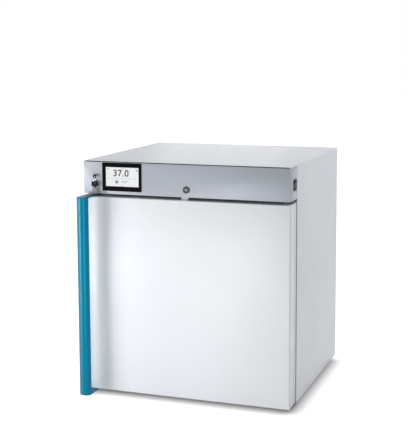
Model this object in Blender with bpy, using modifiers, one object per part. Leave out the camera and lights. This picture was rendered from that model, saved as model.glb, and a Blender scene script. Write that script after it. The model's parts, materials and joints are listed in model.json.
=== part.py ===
"""Bench-top incubator with a front door hinged on its right, as separate solid pieces.

X runs to the right, Y to the back and Z up, in metres. The origin lies on the bench,
under the middle of the whole object. The door faces -Y.
"""

import math

import bmesh
import bpy
from mathutils import Matrix, Vector

# Overall sizes
WIDTH = 0.560
BODY_HEIGHT = 0.616
BODY_DEPTH = 0.520
FOOT_HEIGHT = 0.012
SHEET = 0.0012
GAP = 0.0003
HALF = WIDTH / 2

# Front block: the door and the fascia above it
FRONT_BLOCK = 0.065
FASCIA_HEIGHT = 0.087
DOOR_GAP = 0.008
DOOR_LIFT = 0.0015
EDGE_ROUND = 0.003

# Handle
HANDLE_REACH = 0.054
HANDLE_WIDTH = 0.031
HANDLE_DEPTH = 0.018
HANDLE_BOW = 0.008
HANDLE_ROUND = 0.004
HANDLE_WALL = 0.0025
HANDLE_PLATE = 0.003
HANDLE_PLATE_TAIL = 0.055

# Rear
REAR_RECESS = 0.006
PLUG_HEAD = 0.010

# Chamber, set in from the sides, the bottom, the door's top and the back
CHAMBER_SIDE = 0.060
CHAMBER_RISE = 0.058
CHAMBER_HEAD = 0.063
REAR_SPACE = 0.1235
CHAMBER_WALL = 0.001
CHAMBER_ROUND = 0.012
CHAMBER_FLANGE = 0.014
INSULATION_BACK = 0.050

# Front to back levels
FRONT = HANDLE_REACH - (BODY_DEPTH + HANDLE_REACH + PLUG_HEAD - REAR_RECESS) / 2
CABINET_FRONT = FRONT + FRONT_BLOCK
FRAME_BACK = CABINET_FRONT + SHEET
MOUTH = FRAME_BACK + GAP
BACK = FRONT + BODY_DEPTH
REAR_FACE = BACK - REAR_RECESS
REAR_INSIDE = REAR_FACE - SHEET
CHAMBER_BACK = BACK - REAR_SPACE
JACKET_BACK = CHAMBER_BACK + CHAMBER_WALL + INSULATION_BACK
BACK_SHEET_BACK = JACKET_BACK + GAP + SHEET

# Heights
BODY_BOTTOM = FOOT_HEIGHT
BODY_TOP = FOOT_HEIGHT + BODY_HEIGHT
FASCIA_BOTTOM = BODY_TOP - FASCIA_HEIGHT
DOOR_TOP = FASCIA_BOTTOM - DOOR_GAP
DOOR_BOTTOM = BODY_BOTTOM + DOOR_LIFT
CHAMBER_FLOOR = BODY_BOTTOM + CHAMBER_RISE
CHAMBER_TOP = DOOR_TOP - CHAMBER_HEAD
CHAMBER_MIDDLE = (CHAMBER_FLOOR + CHAMBER_TOP) / 2
CHAMBER_HALF = HALF - CHAMBER_SIDE

# Housing
WRAP_ROUND = 0.004
TOP_SET_BACK = 0.0015
INSIDE_HALF = HALF - SHEET - GAP
BASE_FLANGE = 0.024
FRAME_TOP = FASCIA_BOTTOM - 0.001

# Rear vents
VENT_ROWS = 7
VENT_PITCH = 0.012
VENT_SLOT = 0.005
VENT_LENGTH = 0.120
VENT_BRIDGE = 0.016
VENT_RISE = 0.060

# Hinge pivots
PIVOT_FROM_SIDE = 0.015
PIVOT_FROM_FRONT = 0.028
PIVOT_X = HALF - PIVOT_FROM_SIDE
PIVOT_Y = FRONT + PIVOT_FROM_FRONT
PIN_RADIUS = 0.004
PIN_LENGTH = 0.010
BUSH_RADIUS = 0.0065
BUSH_LENGTH = 0.013
HINGE_PLATE = 0.003
HINGE_WIDTH = 0.026
HINGE_NOSE = 0.011
HINGE_TAIL = 0.045
TOP_PLATE_BASE = DOOR_TOP + 0.0025
COMPARTMENT_FLOOR = TOP_PLATE_BASE + HINGE_PLATE + GAP

# Door
PAN_DEPTH = 0.036
PAN_WALL = 0.0012
LINER_WALL = 0.0015
LINER_BACK = 0.058
PLUG_REACH = 0.080
PLUG_CLEAR = 0.014
PLUG_ROUND = 0.014
GASKET_WIDTH = 0.012
GASKET_INSET = 0.017
GASKET_ROUND = 0.006
LINER_INSET = 0.0005
LINER_ROUND = 0.002
BUSH_COLLAR = 0.0008
BUSH_COLLAR_WIDTH = 0.002
BUSH_ROOM = 0.002

# Shelves and their rails
RAIL_LEVELS = 5
RAIL_FIRST = 0.058
RAIL_HEAD = 0.086
RAIL_SPACING = (CHAMBER_TOP - CHAMBER_FLOOR - RAIL_FIRST - RAIL_HEAD) / (RAIL_LEVELS - 1)
RAIL_SET_BACK = 0.020
RAIL_END = 0.030
RAIL_BITE = 0.001
RAIL_SHEET = 0.0012
RAIL_LEDGE = 0.014
RAIL_LIP = 0.008
RAIL_POST = 0.016
RAIL_POST_DEPTH = 0.005
SHELF_LEVELS = (1, 3)
SHELF_FRAME_RADIUS = 0.0025
SHELF_WIRE_RADIUS = 0.0013
SHELF_ROD_RADIUS = 0.002
SHELF_WIRES = 13
SHELF_RODS = (0.25, 0.75)
SHELF_CLEAR = 0.0015
SHELF_END = 0.004
SHELF_DOOR_CLEAR = 0.002
SHELF_SLIDE = 0.012
SHELF_ROUND = 0.012

# Air plenum, fan and heater
PLENUM = 0.032
BAFFLE_SIDE = 0.070
BAFFLE_HALF = CHAMBER_HALF - BAFFLE_SIDE
BAFFLE_MARGIN = 0.012
INTAKE_RINGS = ((0.0, 1), (0.0175, 6), (0.035, 12))
INTAKE_HOLE = 0.0068
OUTLETS = 7
OUTLET_HEIGHT = 0.030
OUTLET_EDGE = 0.008
IMPELLER_RADIUS = 0.062
IMPELLER_DEPTH = 0.018
BLADE_COUNT = 10
BLADE_THICKNESS = 0.0016
BLADE_SWEEP = math.radians(34)
IMPELLER_DISC = 0.0015
IMPELLER_CLEAR = 0.006
SHAFT_RADIUS = 0.004
HUB_RADIUS = 0.012
SHAFT_HOLE = 0.008
HEATER_RADIUS = 0.078
HEATER_TUBE = 0.0033
HEATER_OPEN = 16
MOTOR_RADIUS = 0.038
MOTOR_LENGTH = 0.046
MOTOR_FLANGE = 0.010
MOTOR_EDGE = 0.004

# Access port
PORT_X = CHAMBER_HALF - 0.032
PORT_Z = CHAMBER_MIDDLE + 0.060
PORT_BORE = 0.014
PORT_WALL = 0.003
PORT_FLANGE = 0.022
PORT_RIM = 0.002
PORT_PLUG_LENGTH = 0.085
PLUG_OVERHANG = 0.005

# Temperature probe
PROBE_X = 0.035 - CHAMBER_HALF
PROBE_Z = CHAMBER_MIDDLE + 0.060
PROBE_RADIUS = 0.002
PROBE_REACH = 0.036
PROBE_COLLAR = 0.006

# Mains inlet
INLET_X = 0.100 - HALF
INLET_Z = FASCIA_BOTTOM + 0.044
INLET_HALF = 0.0145
INLET_HEIGHT = 0.022
INLET_DEPTH = 0.020
INLET_FLANGE = 0.0025
INLET_PLATE = (0.0250, 0.0150)
INLET_ROUND = 0.006
INLET_MOUTH = (0.0120, 0.0080)
INLET_CORNER = 0.0045
INLET_FLOOR = 0.003
INLET_PIN = (0.001, 0.002)
INLET_PINS = ((-0.007, -0.002), (0.0, 0.002), (0.007, -0.002))

# Controller board and power supply
BAY_SET_BACK = 0.060
BOARD_LEFT = 0.050 - HALF
BOARD_WIDTH = 0.140
BOARD_DEPTH = 0.120
BOARD_RISE = 0.008
BOARD_THICKNESS = 0.0016
STANDOFF_INSET = 0.008
STANDOFF_RADIUS = 0.003
BOARD_PARTS = (
    (0.14, 0.17, 0.22, 0.22, 0.018),
    (0.43, 0.15, 0.14, 0.17, 0.004),
    (0.71, 0.17, 0.13, 0.50, 0.014),
    (0.16, 0.58, 0.43, 0.12, 0.012),
)
SUPPLY_WIDTH = 0.110
SUPPLY_DEPTH = 0.160
SUPPLY_HEIGHT = 0.040
SUPPLY_RIGHT = HALF - 0.110
SUPPLY_SLOTS = 9
SUPPLY_SLOT_PITCH = 0.014
SUPPLY_SLOT = 0.007
SUPPLY_SLOT_DEPTH = 0.004

# Fascia and what it carries
FASCIA_SHEET = 0.0015
FASCIA_SHADOW = 0.002
FASCIA_TOP = BODY_TOP - SHEET - FASCIA_SHADOW
DISPLAY_WIDTH = 0.110
DISPLAY_HEIGHT = 0.074
DISPLAY_X = 0.109 - HALF
DISPLAY_Z = FASCIA_BOTTOM + 0.0455
SCREEN_WIDTH = 0.095
SCREEN_HEIGHT = 0.054
BEZEL_PROUD = 0.002
BEZEL_LIP = 0.0008
BEZEL_COLLAR = 0.001
GLASS_BORDER = 0.0012
GLASS_THICKNESS = 0.0011
MODULE_DEPTH = 0.008

# Cam lock
LOCK_X = 0.007
LOCK_Z = FASCIA_BOTTOM + 0.0197
LOCK_BARREL = 0.006
LOCK_FLANGE = 0.0092
LOCK_LENGTH = 0.014
LOCK_PLUG = 0.0042
CAM_THICKNESS = 0.0025
CAM_REACH = 0.026
CAM_HALF_WIDTH = 0.005
CAM_PIN = 0.0025
LOCK_RIM = 0.0015
LOCK_NUT = 0.003
KEY_SLOT = (0.0006, 0.003)
STRIKE_WIDTH = 0.019
STRIKE_X = LOCK_X - 0.008
STRIKE_HEIGHT = 0.0065
STRIKE_THICKNESS = 0.002
STRIKE_SOLE = 0.008

# Keys on their peg
PEG_X = 0.035 - HALF
PEG_Z = FASCIA_BOTTOM + 0.0465
EYE_RADIUS = 0.0048
EYE_HOLE = 0.0021
EYE_THICKNESS = 0.0024
EYE_REACH = 0.0094
PEG_STEM = 0.0017
PEG_STEM_RISE = 0.0027
PEG_HOLE_DROP = 0.0014
RING_RADIUS = 0.007
RING_WIRE = 0.0007
KEY_THICKNESS = 0.002
KEY_BOW_WIDTH = 0.015
KEY_BOW_HEIGHT = 0.015
KEY_HOLE = 0.0022
KEY_BLADE_WIDTH = 0.0056
KEY_BLADE_LENGTH = 0.020
KEY_TILT = math.radians(9)
KEY_TEETH = 4
KEY_TOOTH_PITCH = 0.0032

# Mains rocker on the fascia's right side
ROCKER_FROM_FRONT = 0.040
ROCKER_Z = FASCIA_BOTTOM + 0.0385
ROCKER_WIDTH = 0.026
ROCKER_HEIGHT = 0.029
ROCKER_CAP_WIDTH = 0.018
ROCKER_CAP_HEIGHT = 0.020
ROCKER_PIVOT_DEPTH = 0.005
ROCKER_TILT = math.radians(7)
ROCKER_WALL = 0.0012
ROCKER_TOP_ROOM = 0.0014
ROCKER_FRAME = 0.0014
ROCKER_BODY = 0.020
ROCKER_WELL = 0.017

# Feet
FOOT_INSET = 0.060
FOOT_RADIUS = 0.016
FOOT_STEM = 0.004
FOOT_STEM_LENGTH = 0.022
FOOT_PAD = 0.008


def start_scene():
    """Removes what a new file holds and makes the two collections."""
    for item in list(bpy.data.objects):
        bpy.data.objects.remove(item, do_unlink=True)
    for group in list(bpy.data.collections):
        bpy.data.collections.remove(group)
    for name in ("incubator", "cutters"):
        bpy.context.scene.collection.children.link(bpy.data.collections.new(name))


def look(name, colour, roughness, metallic=0.0, alpha=1.0):
    """A Principled material."""
    made = bpy.data.materials.get(name) or bpy.data.materials.new(name)
    made.use_nodes = True
    made.diffuse_color = (*colour, alpha)
    shader = made.node_tree.nodes["Principled BSDF"]
    shader.inputs["Base Color"].default_value = (*colour, 1.0)
    shader.inputs["Roughness"].default_value = roughness
    shader.inputs["Metallic"].default_value = metallic
    shader.inputs["Alpha"].default_value = alpha
    return made


def place(name, mesh, paint):
    """Adds a mesh as a part, or as a wire cutter when it has no paint."""
    piece = bpy.data.objects.new(name, mesh)
    if paint is None:
        piece.hide_render = True
        piece.display_type = "WIRE"
        bpy.data.collections["cutters"].objects.link(piece)
    else:
        mesh.materials.clear()
        mesh.materials.append(paint)
        bpy.data.collections["incubator"].objects.link(piece)
    return piece


def box(name, low, high, paint=None, rounding=0.0, steps=2):
    """A box between two corners, with rounded edges where wanted."""
    low = Vector(low)
    high = Vector(high)
    mesh = bpy.data.meshes.new(name)
    shape = bmesh.new()
    size = high - low
    bmesh.ops.create_cube(shape, size=1.0, matrix=Matrix.Diagonal((*size, 1.0)))
    shape.to_mesh(mesh)
    shape.free()
    piece = place(name, mesh, paint)
    piece.location = (low + high) / 2
    if rounding:
        round_edges(piece, rounding, steps)
    return piece


def boxes(name, corners, paint=None):
    """Several boxes that don't touch, as one mesh."""
    mesh = bpy.data.meshes.new(name)
    shape = bmesh.new()
    for low, high in corners:
        size = Vector(high) - Vector(low)
        middle = (Vector(high) + Vector(low)) / 2
        where = Matrix.Translation(middle) @ Matrix.Diagonal((*size, 1.0))
        bmesh.ops.create_cube(shape, size=1.0, matrix=where)
    shape.to_mesh(mesh)
    shape.free()
    return place(name, mesh, paint)


def pointing(start, end):
    """The matrix that stands a piece made along +Z between two points."""
    along = Vector(end) - Vector(start)
    turn = along.to_track_quat("Z", "Y").to_matrix().to_4x4()
    return Matrix.Translation((Vector(start) + Vector(end)) / 2) @ turn


def rods(name, spans, radius, paint=None, sides=24):
    """Round bars between pairs of points, as one mesh; they don't touch each other."""
    mesh = bpy.data.meshes.new(name)
    shape = bmesh.new()
    for start, end in spans:
        length = (Vector(end) - Vector(start)).length
        bmesh.ops.create_cone(
            shape,
            cap_ends=True,
            segments=sides,
            radius1=radius,
            radius2=radius,
            depth=length,
            matrix=pointing(start, end),
        )
    shape.to_mesh(mesh)
    shape.free()
    smooth(mesh)
    return place(name, mesh, paint)


def smooth(mesh, angle=40):
    """Shades a round piece smooth, with its corners kept sharp."""
    mesh.shade_smooth()
    mesh.set_sharp_from_angle(angle=math.radians(angle))


def turned(name, profile, base, direction, paint=None, steps=24, closed=False):
    """A turned piece: radius and height pairs, outer side from top to bottom."""
    mesh = bpy.data.meshes.new(name)
    shape = bmesh.new()
    points = [shape.verts.new((radius, 0.0, height)) for radius, height in profile]
    for first, second in zip(points, points[1:]):
        shape.edges.new((first, second))
    if closed:
        shape.edges.new((points[-1], points[0]))
    shape.to_mesh(mesh)
    shape.free()
    piece = place(name, mesh, paint)
    piece.location = base
    piece.rotation_euler = Vector(direction).to_track_quat("Z", "Y").to_euler()
    turn = piece.modifiers.new("Turn", "SCREW")
    turn.steps = steps
    turn.render_steps = steps
    turn.use_merge_vertices = True
    turn.merge_threshold = 0.00001
    turn.use_normal_calculate = False
    turn.use_smooth_shade = True
    return piece


def welded(curve_object, name, paint):
    """Replaces a curve object with a closed mesh object of the same place."""
    bpy.context.view_layer.update()
    graph = bpy.context.evaluated_depsgraph_get()
    mesh = bpy.data.meshes.new_from_object(curve_object.evaluated_get(graph))
    shape = bmesh.new()
    shape.from_mesh(mesh)
    bmesh.ops.remove_doubles(shape, verts=shape.verts, dist=0.00001)
    bmesh.ops.recalc_face_normals(shape, faces=shape.faces)
    shape.to_mesh(mesh)
    shape.free()
    mesh.name = name
    matrix = curve_object.matrix_world.copy()
    bpy.data.objects.remove(curve_object, do_unlink=True)
    piece = place(name, mesh, paint)
    piece.matrix_world = matrix
    return piece


PLANE_TURNS = {
    "X": (math.pi / 2, 0.0, math.pi / 2),
    "Y": (math.pi / 2, 0.0, 0.0),
    "Z": (0.0, 0.0, 0.0),
}


def flat(name, outlines, axis, low, high, paint=None):
    """A flat outline, with any inner outlines as holes, between two levels on an axis."""
    curve = bpy.data.curves.new(name, "CURVE")
    curve.dimensions = "2D"
    curve.fill_mode = "BOTH"
    curve.extrude = (high - low) / 2
    for outline in outlines:
        spline = curve.splines.new("POLY")
        spline.points.add(len(outline) - 1)
        for point, (first, second) in zip(spline.points, outline):
            point.co = (first, second, 0.0, 1.0)
        spline.use_cyclic_u = True
    holder = bpy.data.objects.new(name + "_outline", curve)
    bpy.data.collections["cutters"].objects.link(holder)
    holder.rotation_euler = PLANE_TURNS[axis]
    holder.location["XYZ".index(axis)] = (low + high) / 2
    return welded(holder, name, paint)


def tube(name, points, radius, paint=None, cyclic=False, resolution=2):
    """A round bar that follows a list of points."""
    curve = bpy.data.curves.new(name, "CURVE")
    curve.dimensions = "3D"
    curve.bevel_depth = radius
    curve.bevel_resolution = resolution
    curve.use_fill_caps = not cyclic
    spline = curve.splines.new("POLY")
    spline.points.add(len(points) - 1)
    for place_on, where in zip(spline.points, points):
        place_on.co = (*where, 1.0)
    spline.use_cyclic_u = cyclic
    holder = bpy.data.objects.new(name + "_path", curve)
    bpy.data.collections["cutters"].objects.link(holder)
    piece = welded(holder, name, paint)
    smooth(piece.data, 60)
    return piece


def arc(centre, radius, start, end, steps):
    """Points on an arc in a plane, with angles in degrees."""
    points = []
    for step in range(steps + 1):
        angle = math.radians(start + (end - start) * step / steps)
        across = centre[0] + radius * math.cos(angle)
        up = centre[1] + radius * math.sin(angle)
        points.append((across, up))
    return points


def circle(centre, radius, steps=24):
    """A closed outline of a circle."""
    return arc(centre, radius, 0, 360 - 360 / steps, steps - 1)


def rounded(low, high, radius, steps=3):
    """A closed outline of a rectangle with round corners."""
    left, bottom = low
    right, top = high
    outline = []
    outline += arc((right - radius, top - radius), radius, 0, 90, steps)
    outline += arc((left + radius, top - radius), radius, 90, 180, steps)
    outline += arc((left + radius, bottom + radius), radius, 180, 270, steps)
    outline += arc((right - radius, bottom + radius), radius, 270, 360, steps)
    return outline


def rectangle(low, high):
    """A closed outline of a plain rectangle."""
    return [(low[0], low[1]), (high[0], low[1]), (high[0], high[1]), (low[0], high[1])]


def round_edges(piece, width, steps=2, angle=40):
    """Rounds every sharp edge of a piece."""
    edge = piece.modifiers.new("Rounded edges", "BEVEL")
    edge.width = width
    edge.segments = steps
    edge.limit_method = "ANGLE"
    edge.angle_limit = math.radians(angle)


def combine(piece, others, operation):
    """Adds Boolean modifiers to a piece, one for each of the others."""
    for other in others:
        change = piece.modifiers.new(operation.title() + " " + other.name, "BOOLEAN")
        change.operation = operation
        change.solver = "EXACT"
        change.object = other
    return piece


def cut(piece, *cutters):
    """Cuts shapes out of a piece."""
    return combine(piece, cutters, "DIFFERENCE")


def join(piece, *others):
    """Joins shapes to a piece, so that they are one solid."""
    return combine(piece, others, "UNION")


def put_origin(piece, where):
    """Moves an object's origin to a point without moving its shape."""
    where = Vector(where)
    turn = piece.matrix_basis.copy()
    turn.translation = where
    piece.data.transform(turn.inverted() @ piece.matrix_basis)
    piece.matrix_basis = turn


# Materials
def paint_set():
    """The object's materials by plain name."""
    return {
        "white": look("white powder coat", (0.78, 0.79, 0.82), 0.42),
        "door": look("door powder coat", (0.86, 0.86, 0.87), 0.38),
        "grey": look("silver grey coat", (0.41, 0.44, 0.49), 0.40, 0.25),
        "teal": look("teal anodised", (0.0, 0.20, 0.34), 0.30, 0.35),
        "steel": look("stainless steel", (0.56, 0.57, 0.58), 0.28, 1.0),
        "zinc": look("zinc plated steel", (0.50, 0.51, 0.52), 0.40, 1.0),
        "wool": look("mineral wool", (0.62, 0.56, 0.38), 0.95),
        "rubber": look("black rubber", (0.02, 0.02, 0.022), 0.75),
        "gasket": look("grey door seal", (0.09, 0.09, 0.10), 0.70),
        "black": look("black plastic", (0.012, 0.012, 0.014), 0.35),
        "bezel": look("black gloss bezel", (0.006, 0.006, 0.007), 0.10),
        "glass": look("display glass", (0.90, 0.92, 0.94), 0.06),
        "board": look("circuit board", (0.02, 0.16, 0.07), 0.50),
        "silicone": look("silicone", (0.70, 0.71, 0.70), 0.60),
        "nylon": look("nylon bush", (0.72, 0.72, 0.68), 0.50),
    }


# Cabinet
def build_housing(paint):
    """The folded wrap of the top and both sides, the base, the frame and the rear."""
    radius = WRAP_ROUND
    inner = WRAP_ROUND - SHEET
    top = BODY_TOP
    outline = [(HALF, BODY_BOTTOM)]
    outline += arc((HALF - radius, top - radius), radius, 0, 90, 3)
    outline += arc((radius - HALF, top - radius), radius, 90, 180, 3)
    outline += [(-HALF, BODY_BOTTOM), (SHEET - HALF, BODY_BOTTOM)]
    outline += arc((radius - HALF, top - radius), inner, 180, 90, 3)
    outline += arc((HALF - radius, top - radius), inner, 90, 0, 3)
    outline += [(HALF - SHEET, BODY_BOTTOM)]
    wrap = flat("housing_wrap", [outline], "Y", FRONT + TOP_SET_BACK, BACK, paint["white"])
    notch = box(
        "cut_wrap_front",
        (-WIDTH, FRONT - SHEET, 0.0),
        (WIDTH, CABINET_FRONT, FASCIA_TOP + GAP),
    )
    cut(wrap, notch)

    base_back = REAR_INSIDE - GAP
    base = box(
        "base_pan",
        (-INSIDE_HALF, FRAME_BACK + GAP, BODY_BOTTOM),
        (INSIDE_HALF, base_back, BODY_BOTTOM + BASE_FLANGE),
        paint["zinc"],
    )
    hollow = box(
        "cut_base_pan",
        (SHEET - INSIDE_HALF, FRAME_BACK + GAP + SHEET, BODY_BOTTOM + SHEET),
        (INSIDE_HALF - SHEET, base_back - SHEET, BODY_BOTTOM + 2 * BASE_FLANGE),
    )
    stems = rods(
        "cut_base_stems",
        [((x, y, 0.0), (x, y, BASE_FLANGE)) for x, y in foot_places()],
        FOOT_STEM + GAP,
        sides=16,
    )
    cut(base, hollow, stems)

    slot = (
        PIVOT_X - HINGE_WIDTH / 2 - GAP,
        TOP_PLATE_BASE - GAP,
        PIVOT_X + HINGE_WIDTH / 2 + GAP,
        TOP_PLATE_BASE + HINGE_PLATE + GAP,
    )
    mouth = rounded(
        (-CHAMBER_HALF, CHAMBER_FLOOR), (CHAMBER_HALF, CHAMBER_TOP), CHAMBER_ROUND
    )
    edge = rectangle((-INSIDE_HALF, BODY_BOTTOM), (INSIDE_HALF, FRAME_TOP))
    frame = flat(
        "front_frame", [edge, mouth], "Y", CABINET_FRONT, FRAME_BACK, paint["white"]
    )
    pass_through = box(
        "cut_frame_hinge",
        (slot[0], CABINET_FRONT - SHEET, slot[1]),
        (slot[2], FRAME_BACK + SHEET, slot[3] + HINGE_PLATE),
    )
    cut(frame, pass_through)

    build_rear_panel(paint)


def foot_places():
    """Where the four feet stand."""
    sides = (FOOT_INSET - HALF, HALF - FOOT_INSET)
    depths = (CABINET_FRONT + FOOT_INSET, BACK - FOOT_INSET)
    return [(x, y) for y in depths for x in sides]


def build_rear_panel(paint):
    """The rear panel with its vent slots and its holes for the port and the inlet."""
    outer = rounded(
        (-INSIDE_HALF, BODY_BOTTOM),
        (INSIDE_HALF, BODY_TOP - SHEET - GAP),
        WRAP_ROUND - SHEET + GAP,
        2,
    )
    port = circle((PORT_X, PORT_Z), PORT_BORE + PORT_WALL + GAP)
    inlet = rectangle(
        (INLET_X - INLET_HALF - GAP, INLET_Z - INLET_HEIGHT / 2 - GAP),
        (INLET_X + INLET_HALF + GAP, INLET_Z + INLET_HEIGHT / 2 + GAP),
    )
    holes = [outer, port, inlet]
    for row in range(VENT_ROWS):
        height = CHAMBER_FLOOR + VENT_RISE + row * VENT_PITCH
        for side in (-1, 1):
            middle = side * (VENT_LENGTH + VENT_BRIDGE) / 2
            holes.append(
                rounded(
                    (middle - VENT_LENGTH / 2, height),
                    (middle + VENT_LENGTH / 2, height + VENT_SLOT),
                    VENT_SLOT / 2.2,
                    1,
                )
            )
    flat("rear_panel", holes, "Y", REAR_INSIDE, REAR_FACE, paint["zinc"])


def wall_holes():
    """The round holes behind the chamber: use, place, radius and sides."""
    return (
        ("shaft", 0.0, CHAMBER_MIDDLE, SHAFT_HOLE, 16),
        ("port", PORT_X, PORT_Z, PORT_BORE + PORT_WALL + GAP, 24),
        ("probe", PROBE_X, PROBE_Z, PROBE_RADIUS + GAP, 12),
    )


def build_chamber(paint):
    """The stainless chamber, its insulation and the sheets behind and above it."""
    low = (-CHAMBER_HALF, CHAMBER_FLOOR)
    high = (CHAMBER_HALF, CHAMBER_TOP)
    wall = CHAMBER_WALL
    outer = rounded(
        (low[0] - wall, low[1] - wall), (high[0] + wall, high[1] + wall), CHAMBER_ROUND + wall
    )
    inner = rounded(low, high, CHAMBER_ROUND)
    flange = rounded(
        (low[0] - CHAMBER_FLANGE, low[1] - CHAMBER_FLANGE),
        (high[0] + CHAMBER_FLANGE, high[1] + CHAMBER_FLANGE),
        CHAMBER_ROUND,
    )
    chamber = flat(
        "inner_chamber", [outer], "Y", MOUTH, CHAMBER_BACK + wall, paint["steel"]
    )
    rim = flat("join_chamber_flange", [flange], "Y", MOUTH, MOUTH + wall)
    space = flat("cut_chamber_space", [inner], "Y", MOUTH - wall, CHAMBER_BACK)
    holes = [
        rods(
            "cut_chamber_" + use,
            [((x, CHAMBER_BACK - 2 * wall, z), (x, CHAMBER_BACK + 2 * wall, z))],
            radius,
            sides=sides,
        )
        for use, x, z, radius, sides in wall_holes()
    ]
    join(chamber, rim)
    cut(chamber, space, *holes)

    jacket = box(
        "insulation_jacket",
        (-INSIDE_HALF, MOUTH + wall + GAP + SHEET + GAP, BODY_BOTTOM + BASE_FLANGE + GAP),
        (INSIDE_HALF, JACKET_BACK, TOP_PLATE_BASE - GAP),
        paint["wool"],
    )
    room = flat(
        "cut_jacket_room",
        [
            rounded(
                (low[0] - wall - GAP, low[1] - wall - GAP),
                (high[0] + wall + GAP, high[1] + wall + GAP),
                CHAMBER_ROUND + wall + GAP,
            )
        ],
        "Y",
        MOUTH - wall,
        CHAMBER_BACK + wall + GAP,
    )
    tunnels = [
        rods(
            "cut_jacket_" + use,
            [((x, CHAMBER_BACK, z), (x, JACKET_BACK + SHEET, z))],
            radius,
            sides=sides,
        )
        for use, x, z, radius, sides in wall_holes()
    ]
    cut(jacket, room, *tunnels)

    sheet_edge = rectangle(
        (-INSIDE_HALF, BODY_BOTTOM + BASE_FLANGE + GAP),
        (INSIDE_HALF, TOP_PLATE_BASE - GAP),
    )
    flat(
        "jacket_back_sheet",
        [sheet_edge] + [circle((x, z), radius, sides) for _, x, z, radius, sides in wall_holes()],
        "Y",
        JACKET_BACK + GAP,
        BACK_SHEET_BACK,
        paint["zinc"],
    )
    box(
        "compartment_floor",
        (-INSIDE_HALF, FRAME_BACK + GAP, COMPARTMENT_FLOOR),
        (INSIDE_HALF, REAR_INSIDE - GAP, COMPARTMENT_FLOOR + SHEET),
        paint["zinc"],
    )


def build_rails(paint):
    """A stamped rack on each chamber wall, with a lipped ledge for every level."""
    start = MOUTH + RAIL_SET_BACK
    end = CHAMBER_BACK - PLENUM - SHELF_END
    for side, name in ((-1, "shelf_rail_left"), (1, "shelf_rail_right")):
        wall = side * (CHAMBER_HALF - GAP)
        face = wall - side * RAIL_POST_DEPTH
        edges = sorted((wall, face))
        bottom = CHAMBER_FLOOR + RAIL_END
        top = CHAMBER_TOP - RAIL_END
        posts = [
            (
                (edges[0], depth, bottom),
                (edges[1], depth + RAIL_POST, top),
            )
            for depth in (start + RAIL_END, end - RAIL_END - RAIL_POST)
        ]
        first, second = posts
        rack = box(name, first[0], first[1], paint["steel"])
        other = box("join_" + name + "_post", second[0], second[1])
        ledges = []
        lips = []
        for level in range(RAIL_LEVELS):
            height = rail_height(level)
            inner = face + side * RAIL_BITE
            reach = inner - side * RAIL_LEDGE
            across = sorted((inner, reach))
            ledges.append(
                ((across[0], start, height - RAIL_SHEET), (across[1], end, height))
            )
            upright = sorted((inner, inner - side * RAIL_SHEET))
            lips.append(
                (
                    (upright[0], start, height - RAIL_SHEET / 2),
                    (upright[1], end, height + RAIL_LIP),
                )
            )
        join(
            rack,
            other,
            boxes("join_" + name + "_ledges", ledges),
            boxes("join_" + name + "_lips", lips),
        )


def rail_height(level):
    """The height of a rail ledge's upper face."""
    return CHAMBER_FLOOR + RAIL_FIRST + level * RAIL_SPACING


def shelf_half():
    """Half the width of a shelf, which runs between the lips of the rails."""
    lip = RAIL_POST_DEPTH - RAIL_BITE + RAIL_SHEET
    return CHAMBER_HALF - GAP - lip - SHELF_CLEAR


def build_shelves(paint):
    """Wire shelves: a round frame, two cross rods and a row of thin wires on top."""
    half = shelf_half()
    back = CHAMBER_BACK - PLENUM - SHELF_END
    front = FRONT + PLUG_REACH + SHELF_DOOR_CLEAR + SHELF_SLIDE
    radius = SHELF_FRAME_RADIUS
    for number, level in enumerate(SHELF_LEVELS, 1):
        name = "wire_shelf_%d" % number
        middle = rail_height(level) + GAP + radius
        outline = rounded(
            (radius - half, front + radius), (half - radius, back - radius), SHELF_ROUND
        )
        path = [(x, y, middle) for x, y in outline]
        shelf = tube(name, path, radius, paint["steel"], cyclic=True, resolution=1)
        rows = [front + (back - front) * share for share in SHELF_RODS]
        cross = rods(
            "join_%s_rods" % name,
            [((radius - half, row, middle), (half - radius, row, middle)) for row in rows],
            SHELF_ROD_RADIUS,
            sides=6,
        )
        wire_height = middle + SHELF_ROD_RADIUS
        pitch = 2 * (half - SHELF_ROUND) / (SHELF_WIRES - 1)
        wires = rods(
            "join_%s_wires" % name,
            [
                (
                    (SHELF_ROUND - half + pitch * wire, front + radius, wire_height),
                    (SHELF_ROUND - half + pitch * wire, back - radius, wire_height),
                )
                for wire in range(SHELF_WIRES)
            ],
            SHELF_WIRE_RADIUS,
            sides=6,
        )
        join(shelf, cross, wires)


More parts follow.
